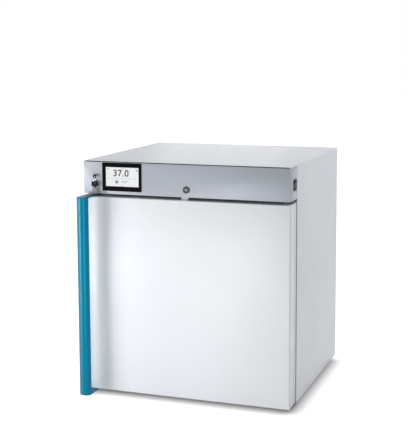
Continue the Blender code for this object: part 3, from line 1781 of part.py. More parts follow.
# Feet
def build_feet(paint):
    """Four levelling feet: a rubber pad under a threaded stem."""
    names = ("front_left", "front_right", "rear_left", "rear_right")
    for name, (x, y) in zip(names, foot_places()):
        turned(
            "foot_pad_" + name,
            [
                (0.0, FOOT_PAD),
                (FOOT_RADIUS * 0.7, FOOT_PAD),
                (FOOT_RADIUS, FOOT_PAD / 2),
                (FOOT_RADIUS, 0.001),
                (FOOT_RADIUS - 0.001, 0.0),
                (0.0, 0.0),
            ],
            (x, y, 0.0),
            (0.0, 0.0, 1.0),
            paint["rubber"],
            steps=16,
        )
        lift = FOOT_PAD + GAP
        turned(
            "foot_stem_" + name,
            [
                (0.0, FOOT_STEM_LENGTH),
                (FOOT_STEM, FOOT_STEM_LENGTH),
                (FOOT_STEM, FOOT_HEIGHT - GAP - lift),
                (FOOT_STEM * 2, FOOT_HEIGHT - GAP - lift),
                (FOOT_STEM * 2, 0.0),
                (0.0, 0.0),
            ],
            (x, y, lift),
            (0.0, 0.0, 1.0),
            paint["zinc"],
            steps=12,
        )


def main():
    """Builds every piece."""
    start_scene()
    paint = paint_set()
    build_housing(paint)
    build_chamber(paint)
    build_rails(paint)
    build_shelves(paint)
    build_air_system(paint)
    build_rear_fittings(paint)
    build_electronics(paint)
    build_fascia(paint)
    build_display(paint)
    build_lock(paint)
    build_keys(paint)
    build_rocker(paint)
    build_hinge(paint)
    build_door(paint)
    build_handle(paint)
    build_feet(paint)


main()
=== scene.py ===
"""Dressed scene of a bench-top incubator with a front door.

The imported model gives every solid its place. Each sub-assembly below is a class that
dresses its own solids: some are refined copies with rounded edges, others are made anew.
"""

from __future__ import annotations

import json
import logging
import math
from dataclasses import dataclass, field
from enum import Enum
from typing import Callable, Iterable, Optional, Sequence

import bmesh
import bpy
from mathutils import Matrix, Vector

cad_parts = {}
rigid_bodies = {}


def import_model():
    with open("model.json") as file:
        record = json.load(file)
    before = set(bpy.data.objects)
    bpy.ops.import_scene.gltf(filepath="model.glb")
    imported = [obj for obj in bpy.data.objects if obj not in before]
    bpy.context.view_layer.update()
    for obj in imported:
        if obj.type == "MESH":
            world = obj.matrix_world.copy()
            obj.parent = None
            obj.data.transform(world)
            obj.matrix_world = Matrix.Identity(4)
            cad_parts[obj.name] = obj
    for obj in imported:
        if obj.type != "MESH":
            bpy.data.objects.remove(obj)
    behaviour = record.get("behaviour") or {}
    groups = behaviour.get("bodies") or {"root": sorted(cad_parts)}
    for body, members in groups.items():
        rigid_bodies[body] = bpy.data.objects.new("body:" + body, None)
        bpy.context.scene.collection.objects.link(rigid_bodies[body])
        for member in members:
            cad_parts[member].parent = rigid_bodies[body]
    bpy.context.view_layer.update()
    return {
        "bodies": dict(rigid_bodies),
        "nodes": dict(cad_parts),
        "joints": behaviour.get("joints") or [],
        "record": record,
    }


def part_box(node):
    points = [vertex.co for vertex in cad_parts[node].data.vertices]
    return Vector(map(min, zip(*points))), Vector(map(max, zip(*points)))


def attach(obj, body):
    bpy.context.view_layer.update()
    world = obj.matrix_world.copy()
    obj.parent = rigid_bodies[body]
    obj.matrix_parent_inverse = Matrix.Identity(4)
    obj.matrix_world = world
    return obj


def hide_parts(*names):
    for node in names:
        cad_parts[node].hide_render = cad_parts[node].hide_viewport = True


LOG = logging.getLogger("incubator")
Point2 = tuple[float, float]
TURN = 2 * math.pi
FRONT = (0.0, -1.0, 0.0)
REAR = (0.0, 1.0, 0.0)
UP = (0.0, 0.0, 1.0)
DOWN = (0.0, 0.0, -1.0)
NOWHERE = (0.0, 0.0, 0.0)
TEXTURE_LOW = 0.3
TEXTURE_HIGH = 0.7
DOUBLED = 0.000004
ON_AXIS = 0.0000001
FLAT_ANGLE = 0.8
# Edges that Workshop.refine rounds: radius, segments, and the least angle in degrees
THIN_EDGE = (0.0002, 2, 50)
PLAIN_EDGE = (0.0003, 2)
MOULDED_EDGE = (0.0004, 3, 40)


class Axis(Enum):
    """The three directions of the cabinet."""

    X = 0
    Y = 1
    Z = 2


class Slot(Enum):
    """The record's material slots."""

    WHITE = "white_coat"
    DOOR = "door_coat"
    GREY = "grey_coat"
    ZINC = "zinc_sheet"
    MOTOR = "motor_can"
    SUPPLY = "supply_case"
    STAINLESS = "stainless"
    POLISHED = "polished_steel"
    TEAL = "teal_anodised"
    WOOL = "mineral_wool"
    RUBBER = "black_rubber"
    SEAL = "seal_rubber"
    SILICONE = "silicone"
    PLASTIC = "black_plastic"
    GLOSS = "gloss_black"
    NYLON = "nylon"
    BOARD = "circuit_board"
    GLASS = "display_glass"


class Body(Enum):
    """The bodies that pieces ride on."""

    CABINET = "cabinet"
    DOOR = "door"
    LOCK = "lock"
    ROCKER = "rocker"
    FAN = "fan"
    SHELF_LOWER = "shelf_lower"
    SHELF_UPPER = "shelf_upper"
    PLUG = "plug"
    RING = "ring"
    KEY_FRONT = "key_front"
    KEY_REAR = "key_rear"
    FOOT_FRONT_LEFT = "foot_front_left"
    FOOT_FRONT_RIGHT = "foot_front_right"
    FOOT_REAR_LEFT = "foot_rear_left"
    FOOT_REAR_RIGHT = "foot_rear_right"


# Node trees
class NodeSheet:
    """A node tree with short calls to fill it."""

    def __init__(self, tree: bpy.types.NodeTree) -> None:
        """Keeps the tree with its nodes and links.

        Args:
            tree: The tree to fill.
        """
        self.tree = tree
        self.nodes = tree.nodes
        self.links = tree.links

    def add(self, kind: str, **values: object) -> bpy.types.Node:
        """Adds a node and sets its properties or input values.

        Args:
            kind: The node's type.
            **values: Property or input names, spaces as underscores.

        Returns:
            The new node.
        """
        node = self.nodes.new(kind)
        for key, value in values.items():
            if hasattr(node, key):
                setattr(node, key, value)
            else:
                node.inputs[key.replace("_", " ")].default_value = value
        return node

    def join(
        self, source: bpy.types.Node, output: str | int, target: bpy.types.Node, into: str | int
    ) -> None:
        """Links one node's output to another's input, by their names or numbers."""
        self.links.new(source.outputs[output], target.inputs[into])

    def seen_directly(self) -> bpy.types.Node:
        """A node that is one for camera, glossy and transmission rays.

        Returns:
            The last Math node.
        """
        path = self.add("ShaderNodeLightPath")
        last, output = path, "Is Camera Ray"
        for kind in ("Is Glossy Ray", "Is Transmission Ray"):
            either = self.add("ShaderNodeMath", operation="MAXIMUM")
            self.join(last, output, either, 0)
            self.join(path, kind, either, 1)
            last, output = either, 0
        return last


class NodeDesk(NodeSheet):
    """One material's node tree, round its Principled shader."""

    def __init__(self, name: str) -> None:
        """Starts the material.

        Args:
            name: The material's name.
        """
        self.material = bpy.data.materials.new(name)
        self.material.use_nodes = True
        super().__init__(self.material.node_tree)
        self.shader = self.nodes["Principled BSDF"]

    def set(self, **values: object) -> None:
        """Sets the shader's own inputs, spaces as underscores."""
        for key, value in values.items():
            self.shader.inputs[key.replace("_", " ")].default_value = value

    def coordinates(self, stretch: Sequence[float] = (1, 1, 1)) -> bpy.types.Node:
        """Object coordinates through a Mapping node.

        Args:
            stretch: Scale along X, Y and Z.

        Returns:
            The Mapping node.
        """
        mapping = self.add("ShaderNodeMapping", Scale=tuple(stretch))
        self.join(self.add("ShaderNodeTexCoord"), "Object", mapping, "Vector")
        return mapping

    def noise(
        self, scale: float, detail: float = 2.0, stretch: Sequence[float] = (1, 1, 1)
    ) -> bpy.types.Node:
        """A noise texture on Object coordinates.

        Args:
            scale: Features for each metre.
            detail: Octaves.
            stretch: Scale along X, Y and Z.

        Returns:
            The noise node.
        """
        node = self.add("ShaderNodeTexNoise", Scale=scale, Detail=detail)
        self.join(self.coordinates(stretch), "Vector", node, "Vector")
        return node

    def tone(
        self,
        source: bpy.types.Node,
        output: str,
        colour: Sequence[float],
        low: float,
        high: float,
    ) -> None:
        """Feeds the base colour with two shades of a colour, led by a texture.

        Args:
            source: The texture node.
            output: Its output's name.
            colour: The linear colour.
            low: Its factor at the texture's low values.
            high: Its factor at the high values.
        """
        ramp = self.add("ShaderNodeValToRGB")
        places = (TEXTURE_LOW, TEXTURE_HIGH)
        for stop, place, factor in zip(ramp.color_ramp.elements, places, (low, high)):
            stop.position = place
            stop.color = (*shade(colour, factor), 1.0)
        self.join(source, output, ramp, "Fac")
        self.join(ramp, "Color", self.shader, "Base Color")

    def gloss(self, source: bpy.types.Node, output: str, low: float, high: float) -> None:
        """Feeds the roughness from the middle of a texture's values.

        Args:
            source: The texture node.
            output: Its output's name.
            low: The roughness at the texture's low values.
            high: The roughness at its high values.
        """
        spread = self.add("ShaderNodeMapRange", From_Min=TEXTURE_LOW, From_Max=TEXTURE_HIGH)
        spread.inputs["To Min"].default_value = low
        spread.inputs["To Max"].default_value = high
        self.join(source, output, spread, "Value")
        self.join(spread, "Result", self.shader, "Roughness")

    def bump(self, source: bpy.types.Node, strength: float, depth: float) -> None:
        """Feeds a texture to the shader's normal as a bump.

        Args:
            source: The texture node.
            strength: The bump's strength.
            depth: The bump's height in metres.
        """
        node = self.add("ShaderNodeBump", Strength=strength, Distance=depth)
        self.join(source, "Fac", node, "Height")
        self.join(node, "Normal", self.shader, "Normal")


def shade(colour: Sequence[float], factor: float) -> tuple[float, ...]:
    """A colour made lighter or darker by a factor."""
    return tuple(min(1.0, part * factor) for part in colour)


# Finishes
@dataclass(frozen=True)
class Finish:
    """A surface finish, with one material made on first use."""

    name: str
    colour: tuple[float, float, float]
    roughness: float
    slot: Slot

    def dress(self, desk: NodeDesk) -> None:
        """Adds what is special to the finish; each kind has its own."""

    def vary(self, desk: NodeDesk, source: bpy.types.Node, less: float, more: float) -> None:
        """Lets a texture lead the roughness, from a little less to a little more."""
        desk.gloss(source, "Fac", self.roughness - less, self.roughness + more)

    def material(self) -> bpy.types.Material:
        """The finish's material.

        Returns:
            The material, made once and then reused.
        """
        made = bpy.data.materials.get(self.name)
        if made is not None:
            return made
        desk = NodeDesk(self.name)
        desk.set(Roughness=self.roughness)
        self.dress(desk)
        return desk.material


@dataclass(frozen=True)
class PowderCoat(Finish):
    """Powder coat: a faint orange peel, and a gloss that drifts a little."""

    peel: float = 620.0
    peel_depth: float = 0.00006
    metallic: float = 0.0

    def dress(self, desk: NodeDesk) -> None:
        """Adds the peel, the drift of the gloss and a slight change of tone.

        Args:
            desk: The material\'s node tree.
        """
        desk.set(Metallic=self.metallic, Coat_Weight=0.15, Coat_Roughness=0.3)
        desk.tone(desk.noise(5.0, 3.0), "Fac", self.colour, 0.975, 1.02)
        self.vary(desk, desk.noise(16.0, 4.0), 0.04, 0.05)
        desk.bump(desk.noise(self.peel, 2.0), 0.35, self.peel_depth)


@dataclass(frozen=True)
class BrushedMetal(Finish):
    """Metal with fine brush lines along one direction."""

    along: Axis = Axis.X
    metallic: float = 1.0
    line_density: float = 900.0
    contrast: float = 0.08
    line_depth: float = 0.00003
    line_stretch: float = 0.012
    specular: float = 0.5
    gleam: tuple[float, float, float] = (1.0, 1.0, 1.0)
    uneven: float = 0.0

    def dress(self, desk: NodeDesk) -> None:
        """Adds the brush lines to the tone, the gloss and the bump.

        Args:
            desk: The material\'s node tree.
        """
        desk.set(Anisotropic=self.uneven, Anisotropic_Rotation=0.25)
        desk.set(Metallic=self.metallic, Specular_IOR_Level=self.specular)
        desk.set(Specular_Tint=(*self.gleam, 1.0))
        stretch = [1.0, 1.0, 1.0]
        stretch[self.along.value] = self.line_stretch
        lines = desk.noise(self.line_density, 3.0, stretch)
        desk.tone(lines, "Fac", self.colour, 1 - self.contrast, 1 + self.contrast)
        self.vary(desk, lines, 0.06, 0.08)
        desk.bump(lines, 0.4, self.line_depth)


@dataclass(frozen=True)
class ZincPlate(Finish):
    """Zinc plated sheet with a faint spangle."""

    cells: float = 90.0

    def dress(self, desk: NodeDesk) -> None:
        """Adds the spangle to the tone and the gloss.

        Args:
            desk: The material\'s node tree.
        """
        desk.set(Metallic=1.0)
        spangle = desk.add("ShaderNodeTexVoronoi", Scale=self.cells)
        desk.join(desk.coordinates(), "Vector", spangle, "Vector")
        parts = desk.add("ShaderNodeSeparateColor")
        desk.join(spangle, "Color", parts, "Color")
        desk.tone(parts, "Red", self.colour, 0.96, 1.03)
        desk.gloss(parts, "Green", self.roughness - 0.02, self.roughness + 0.03)


@dataclass(frozen=True)
class MouldedPlastic(Finish):
    """Moulded plastic or rubber with a fine spark-eroded grain."""

    grain: float = 1500.0
    grain_depth: float = 0.00005
    subsurface: float = 0.0
    specular: float = 0.5

    def dress(self, desk: NodeDesk) -> None:
        """Adds the grain and a slow change of tone.

        Args:
            desk: The material\'s node tree.
        """
        desk.set(Subsurface_Weight=self.subsurface, Subsurface_Scale=0.002)
        desk.set(Specular_IOR_Level=self.specular)
        desk.tone(desk.noise(30.0, 3.0), "Fac", self.colour, 0.88, 1.12)
        desk.bump(desk.noise(self.grain, 2.0), 0.5, self.grain_depth)


@dataclass(frozen=True)
class GlossPlastic(Finish):
    """Glossy moulded plastic with faint waviness."""

    specular: float = 0.5

    def dress(self, desk: NodeDesk) -> None:
        """Adds faint dust in the gloss and the waviness.

        Args:
            desk: The material\'s node tree.
        """
        desk.set(Specular_IOR_Level=self.specular)
        dust = desk.noise(260.0, 5.0)
        desk.tone(dust, "Fac", self.colour, 1.0, 1.25)
        self.vary(desk, dust, 0.0, 0.06)
        desk.bump(desk.noise(28.0, 1.0), 0.05, 0.0001)


@dataclass(frozen=True)
class ClearGlass(Finish):
    """Thin clear cover glass."""

    alpha: float = 0.08

    def dress(self, desk: NodeDesk) -> None:
        """Makes it see-through, with a trace of smear in the gloss.

        Args:
            desk: The material\'s node tree.
        """
        desk.set(Alpha=self.alpha, IOR=1.5)
        smear = desk.noise(40.0, 3.0)
        desk.tone(smear, "Fac", self.colour, 1.0, 0.97)
        self.vary(desk, smear, 0.0, 0.03)
        desk.material.surface_render_method = "BLENDED"


@dataclass(frozen=True)
class LitPanel(Finish):
    """The lit face of the display, or what it shows."""

    glow: float = 0.9

    def dress(self, desk: NodeDesk) -> None:
        """Adds the glow and the faint grid of the picture cells on a dark base.

        Args:
            desk: The material\'s node tree.
        """
        desk.set(Emission_Color=(*self.colour, 1.0), Emission_Strength=self.glow)
        cells = desk.add("ShaderNodeTexWave", Scale=900.0, Distortion=0.0)
        desk.join(desk.coordinates(), "Vector", cells, "Vector")
        desk.tone(cells, "Fac", self.colour, 0.24, 0.26)


@dataclass(frozen=True)
class MineralWool(Finish):
    """Pressed mineral wool with coarse fibres."""

    def dress(self, desk: NodeDesk) -> None:
        """Adds the fibres to the tone and the bump.

        Args:
            desk: The material\'s node tree.
        """
        desk.set(Sheen_Weight=0.3)
        fibre = desk.noise(260.0, 8.0, (1.0, 1.0, 0.25))
        desk.tone(fibre, "Fac", self.colour, 0.7, 1.2)
        desk.bump(fibre, 0.8, 0.001)


@dataclass(frozen=True)
class CircuitBoard(Finish):
    """Green solder mask with faint copper tracks under it."""

    def dress(self, desk: NodeDesk) -> None:
        """Adds the tracks to the tone and the bump.

        Args:
            desk: The material\'s node tree.
        """
        desk.set(Coat_Weight=0.3, Coat_Roughness=0.2)
        tracks = desk.add("ShaderNodeTexBrick", Scale=60.0, Mortar_Size=0.03)
        for part, factor in (("Color1", 1.0), ("Color2", 0.8), ("Mortar", 2.2)):
            tracks.inputs[part].default_value = (*shade(self.colour, factor), 1.0)
        desk.join(desk.coordinates(), "Vector", tracks, "Vector")
        desk.join(tracks, "Color", desk.shader, "Base Color")
        desk.bump(tracks, 0.2, 0.00005)


WHITE_COAT = PowderCoat("white powder coat", (0.71, 0.735, 0.785), 0.42, Slot.WHITE)
DOOR_COAT = PowderCoat("door powder coat", (0.785, 0.80, 0.835), 0.38, Slot.DOOR)
GREY_COAT = PowderCoat("silver grey coat", (0.345, 0.368, 0.412), 0.40, Slot.GREY, metallic=0.2)
LINER_COAT = PowderCoat("liner coat", (0.74, 0.745, 0.76), 0.45, Slot.WHITE)
MOTOR_COAT = PowderCoat("motor enamel", (0.10, 0.10, 0.11), 0.45, Slot.MOTOR)
TEAL = BrushedMetal(
    "teal anodised", (0.0, 0.155, 0.285), 0.22, Slot.TEAL, Axis.Z, 0.0, 700.0, 0.03,
    specular=0.8, gleam=(0.1, 0.8, 1.0), uneven=1.0
)
TEAL_PLATE = BrushedMetal(
    "teal anodised plate", (0.0, 0.17, 0.30), 0.34, Slot.TEAL, Axis.Y, 0.0, 700.0, 0.05,
    specular=0.25
)
CHAMBER_STEEL = BrushedMetal(
    "chamber stainless", (0.58, 0.58, 0.585), 0.30, Slot.STAINLESS, Axis.Y, 1.0, 800.0
)
SHEET_STEEL = BrushedMetal(
    "brushed stainless sheet", (0.56, 0.565, 0.57), 0.30, Slot.STAINLESS, Axis.Z, 1.0, 800.0
)
WIRE_STEEL = BrushedMetal(
    "drawn stainless wire", (0.60, 0.60, 0.61), 0.22, Slot.STAINLESS, Axis.Y, 1.0, 1500.0, 0.04
)
HEATER_SHEATH = BrushedMetal(
    "heater sheath", (0.30, 0.285, 0.27), 0.38, Slot.STAINLESS, Axis.Y, 1.0, 500.0, 0.12
)
POLISHED = BrushedMetal(
    "polished steel", (0.66, 0.66, 0.68), 0.16, Slot.POLISHED, Axis.Z, 1.0, 2400.0, 0.04
)
LOCK_STEEL = BrushedMetal(
    "dark chromed lock", (0.055, 0.055, 0.065), 0.24, Slot.POLISHED, Axis.Z, 1.0, 2400.0, 0.04
)
PLUG_STEEL = BrushedMetal(
    "lock plug steel", (0.22, 0.22, 0.235), 0.30, Slot.POLISHED, Axis.X, 1.0, 2400.0, 0.04
)
KEY_STEEL = BrushedMetal(
    "nickel silver key", (0.17, 0.167, 0.158), 0.34, Slot.POLISHED, Axis.X, 1.0, 2600.0, 0.07
)
ZINC = ZincPlate("zinc plate", (0.52, 0.53, 0.55), 0.36, Slot.ZINC)
BLACK_ZINC = ZincPlate("black zinc plate", (0.05, 0.05, 0.055), 0.42, Slot.ZINC)
SCREW_ZINC = ZincPlate("screw zinc", (0.58, 0.585, 0.60), 0.28, Slot.ZINC, 400.0)
SUPPLY_CASE = ZincPlate("supply case", (0.62, 0.62, 0.62), 0.40, Slot.SUPPLY, 120.0)
BLACK_PLASTIC = MouldedPlastic(
    "black moulding", (0.008, 0.008, 0.009), 0.42, Slot.PLASTIC, specular=0.12
)
# Near black: the display's real black mask round the picture area, and painted shade at the bottom
# of the key slot.
BLACK_MASK_AND_SLOT_SHADE = MouldedPlastic(
    "black mask and slot shade", (0.002, 0.002, 0.0025), 0.7, Slot.PLASTIC, specular=0.05
)
RUBBER = MouldedPlastic("black rubber", (0.022, 0.022, 0.024), 0.72, Slot.RUBBER, 900.0, 0.0001)
SEAL = MouldedPlastic("grey door seal", (0.07, 0.07, 0.08), 0.62, Slot.SEAL, 700.0, 0.00008)
SILICONE = MouldedPlastic(
    "silicone", (0.72, 0.73, 0.72), 0.5, Slot.SILICONE, 300.0, 0.00006, subsurface=0.4
)
NYLON = MouldedPlastic("natural nylon", (0.72, 0.71, 0.66), 0.5, Slot.NYLON, subsurface=0.2)
GLOSS_BLACK = GlossPlastic(
    "gloss black bezel", (0.001, 0.001, 0.0012), 0.16, Slot.GLOSS, specular=0.06
)
LEGEND_WHITE = GlossPlastic("switch legend", (0.45, 0.45, 0.45), 0.4, Slot.PLASTIC, specular=0.15)
GLASS = ClearGlass("cover glass", (0.02, 0.02, 0.022), 0.03, Slot.GLASS)
SCREEN_LIT = LitPanel("lit display", (0.95, 0.96, 0.975), 0.5, Slot.GLASS, glow=0.78)
SCREEN_INK = LitPanel("display ink", (0.012, 0.015, 0.022), 0.5, Slot.GLASS, glow=0.1)
SCREEN_GREY = LitPanel("display grey ink", (0.10, 0.105, 0.12), 0.5, Slot.GLASS, glow=0.4)
SCREEN_SOFT = LitPanel("display pale ink", (0.26, 0.28, 0.31), 0.5, Slot.GLASS, glow=0.5)
WOOL = MineralWool("mineral wool", (0.56, 0.50, 0.34), 0.95, Slot.WOOL)
BOARD = CircuitBoard("circuit board", (0.015, 0.13, 0.055), 0.45, Slot.BOARD)


# Shapes
@dataclass(frozen=True)
class Span:
    """A node's box in the cabinet's frame."""

    low: Vector
    high: Vector

    @classmethod
    def of(cls, node: str) -> "Span":
        """Reads a node's box from the frame."""
        low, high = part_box(node)
        return cls(Vector(low), Vector(high))

    @property
    def middle(self) -> Vector:
        """The box's centre."""
        return (self.low + self.high) / 2

    @property
    def size(self) -> Vector:
        """The box's edge lengths."""
        return self.high - self.low

    @property
    def front(self) -> tuple[Point2, Point2]:
        """The box's low and high corners as seen from the front."""
        return (self.low.x, self.low.z), (self.high.x, self.high.z)

    def face(self, axis: Axis, high: bool = False) -> tuple[float, ...]:
        """The centre of one of the box's faces.

        Args:
            axis: The axis that the face lies across.
            high: Whether it is the high face.

        Returns:
            The place.
        """
        point = self.middle
        point[axis.value] = (self.high if high else self.low)[axis.value]
        return tuple(point)


def arc(centre: Point2, radius: float, start: float, end: float, steps: int) -> list[Point2]:
    """Points along an arc.

    Args:
        centre: The arc's centre.
        radius: Its radius.
        start: The first angle in degrees.
        end: The last angle in degrees.
        steps: Number of chords.

    Returns:
        The points in order.
    """
    points = []
    for step in range(steps + 1):
        angle = math.radians(start + (end - start) * step / steps)
        points.append((centre[0] + radius * math.cos(angle), centre[1] + radius * math.sin(angle)))
    return points


def rounded(low: Point2, high: Point2, radius: float, steps: int = 6) -> list[Point2]:
    """A rectangle with round corners.

    Args:
        low: The low corner.
        high: The high corner.
        radius: The corners' radius.
        steps: Chords in each corner.

    Returns:
        The closed outline.
    """
    outline = arc((high[0] - radius, high[1] - radius), radius, 0, 90, steps)
    outline += arc((low[0] + radius, high[1] - radius), radius, 90, 180, steps)
    outline += arc((low[0] + radius, low[1] + radius), radius, 180, 270, steps)
    outline += arc((high[0] - radius, low[1] + radius), radius, 270, 360, steps)
    return outline


def corners(low: Point2, high: Point2, inset: float = 0.0) -> list[Point2]:
    """A rectangle's four corners.

    Args:
        low: The low corner.
        high: The high corner.
        inset: How far each corner is moved inwards.

    Returns:
        The closed outline.
    """
    left, bottom = low[0] + inset, low[1] + inset
    right, top = high[0] - inset, high[1] - inset
    return [(left, bottom), (right, bottom), (right, top), (left, top)]


def circle(centre: Point2, radius: float, steps: int = 48) -> list[Point2]:
    """A closed circle without its last, doubled point."""
    return arc(centre, radius, 0, 360, steps)[:-1]


def evaluated_mesh(source: bpy.types.Object, name: str) -> bpy.types.Mesh:
    """The plain mesh that an object evaluates to, with its place applied.

    Args:
        source: Any object with geometry; it is removed afterwards.
        name: The new mesh's name.

    Returns:
        The mesh in the cabinet's frame.
    """
    bpy.context.view_layer.update()
    graph = bpy.context.evaluated_depsgraph_get()
    mesh = bpy.data.meshes.new_from_object(source.evaluated_get(graph), depsgraph=graph)
    mesh.transform(source.matrix_world)
    mesh.name = name
    bpy.data.objects.remove(source, do_unlink=True)
    return mesh


def link(name: str, data: bpy.types.ID) -> bpy.types.Object:
    """Adds an object to the scene.

    Args:
        name: The object's name.
        data: Its mesh, curve, camera or lamp.

    Returns:
        The new object.
    """
    made = bpy.data.objects.new(name, data)
    bpy.context.scene.collection.objects.link(made)
    return made


def smooth(mesh: bpy.types.Mesh, angle: float = 35.0) -> bpy.types.Mesh:
    """Shades a mesh smooth apart from its sharp edges.

    Args:
        mesh: The mesh.
        angle: Edges sharper than this many degrees stay sharp.

    Returns:
        The same mesh.
    """
    mesh.shade_smooth()
    mesh.set_sharp_from_angle(angle=math.radians(angle))
    return mesh


def settled(
    shape: bmesh.types.BMesh, mesh: bpy.types.Mesh, outward: bool = True
) -> bpy.types.Mesh:
    """Writes a finished bmesh to a mesh and frees it.

    Args:
        shape: The bmesh.
        mesh: The mesh that takes it.
        outward: Whether the faces are turned outwards first.

    Returns:
        The same mesh.
    """
    if outward:
        bmesh.ops.recalc_face_normals(shape, faces=shape.faces)
    shape.to_mesh(mesh)
    shape.free()
    return mesh


def cleaned(mesh: bpy.types.Mesh) -> bpy.types.Mesh:
    """Merges doubled points and turns the faces outwards.

    Args:
        mesh: The mesh to clean.

    Returns:
        The same mesh.
    """
    shape = bmesh.new()
    shape.from_mesh(mesh)
    bmesh.ops.remove_doubles(shape, verts=shape.verts, dist=DOUBLED)
    return settled(shape, mesh)


TURNS: dict[Axis, Matrix] = {
    Axis.X: Matrix.Rotation(math.pi / 2, 4, "Z") @ Matrix.Rotation(math.pi / 2, 4, "X"),
    Axis.Y: Matrix.Rotation(math.pi / 2, 4, "X"),
    Axis.Z: Matrix.Identity(4),
}


def slab(
    name: str,
    outlines: Sequence[Sequence[Point2]],
    axis: Axis,
    low: float,
    high: float,
    edge: float = 0.0,
) -> bpy.types.Mesh:
    """A flat outline with holes between two levels, with eased edges.

    Args:
        name: The mesh's name.
        outlines: The outer outline and any holes.
        axis: The direction it is thick in.
        low: The lower level.
        high: The upper level.
        edge: The easing of the rims.

    Returns:
        The closed mesh.
    """
    curve = bpy.data.curves.new(name, "CURVE")
    curve.dimensions = "2D"
    curve.fill_mode = "BOTH"
    curve.extrude = (high - low) / 2 - edge
    curve.bevel_depth = edge
    curve.bevel_resolution = 2
    curve.offset = -edge
    for outline in outlines:
        spline = curve.splines.new("POLY")
        spline.points.add(len(outline) - 1)
        for point, (first, second) in zip(spline.points, outline):
            point.co = (first, second, 0.0, 1.0)
        spline.use_cyclic_u = True
    holder = link(name, curve)
    offset = Vector((0.0, 0.0, 0.0))
    offset[axis.value] = (low + high) / 2
    holder.matrix_world = Matrix.Translation(offset) @ TURNS[axis]
    return smooth(cleaned(evaluated_mesh(holder, name)))


def block(
    name: str, low: Sequence[float], high: Sequence[float], edge: float, steps: int = 3
) -> bpy.types.Mesh:
    """A box with rounded edges.

    Args:
        name: The mesh's name.
        low: The low corner.
        high: The high corner.
        edge: The edges' radius.
        steps: Segments in each edge.

    Returns:
        The closed mesh.
    """
    shape = bmesh.new()
    size = Vector(high) - Vector(low)
    middle = (Vector(high) + Vector(low)) / 2
    where = Matrix.Translation(middle) @ Matrix.Diagonal((*size, 1.0))
    bmesh.ops.create_cube(shape, size=1.0, matrix=where)
    bmesh.ops.bevel(
        shape,
        geom=list(shape.edges) + list(shape.verts),
        offset=edge,
        segments=steps,
        profile=0.5,
        affect="EDGES",
    )
    return smooth(settled(shape, bpy.data.meshes.new(name)), 30.0)


def lathe(
    name: str,
    profile: Sequence[Point2],
    centre: Sequence[float],
    direction: Sequence[float],
    steps: int = 64,
    closed: bool = False,
) -> bpy.types.Mesh:
    """A turned piece from radius and height pairs.

    Args:
        name: The mesh's name.
        profile: Radius and height along the direction.
        centre: Where height zero lies.
        direction: The axis.
        steps: Facets round the axis.
        closed: Whether the profile is a closed ring.

    Returns:
        The closed mesh.
    """
    shape = bmesh.new()
    rings: list[list[bmesh.types.BMVert]] = []
    for radius, height in profile:
        ring = []
        for step in range(1 if radius < ON_AXIS else steps):
            angle = TURN * step / steps
            place = (radius * math.cos(angle), radius * math.sin(angle), height)
            ring.append(shape.verts.new(place))
        rings.append(ring)
    pairs = list(zip(rings, rings[1:]))
    if closed:
        pairs.append((rings[-1], rings[0]))
    for first, second in pairs:
        for step in range(steps):
            after = (step + 1) % steps
            corner = [first[step % len(first)], first[after % len(first)]]
            corner += [second[after % len(second)], second[step % len(second)]]
            unique = list(dict.fromkeys(corner))
            if len(unique) > 2:
                shape.faces.new(unique)
    mesh = settled(shape, bpy.data.meshes.new(name))
    turn = Vector(direction).to_track_quat("Z", "Y").to_matrix().to_4x4()
    mesh.transform(Matrix.Translation(Vector(centre)) @ turn)
    return smooth(mesh, 38.0)


def sweep(
    name: str,
    path: Sequence[Sequence[float]],
    radius: float,
    cyclic: bool = False,
    sides: int = 4,
) -> bpy.types.Mesh:
    """A round bar along a path.

    Args:
        name: The mesh's name.
        path: The points it follows.
        radius: The bar's radius.
        cyclic: Whether the path closes.
        sides: The bevel resolution.

    Returns:
        The closed mesh.
    """
    curve = bpy.data.curves.new(name, "CURVE")
    curve.dimensions = "3D"
    curve.bevel_depth = radius
    curve.bevel_resolution = sides
    curve.use_fill_caps = not cyclic
    spline = curve.splines.new("POLY")
    spline.points.add(len(path) - 1)
    for point, where in zip(spline.points, path):
        point.co = (*where, 1.0)
    spline.use_cyclic_u = cyclic
    return smooth(cleaned(evaluated_mesh(link(name, curve), name)), 50.0)


def merged(name: str, meshes: Iterable[bpy.types.Mesh]) -> bpy.types.Mesh:
    """Several meshes as one, none of which touch.

    Args:
        name: The new mesh's name.
        meshes: The meshes, which are used up.

    Returns:
        The joined mesh, smooth shading kept.
    """
    shape = bmesh.new()
    for mesh in meshes:
        shape.from_mesh(mesh)
        bpy.data.meshes.remove(mesh)
    return settled(shape, bpy.data.meshes.new(name), outward=False)


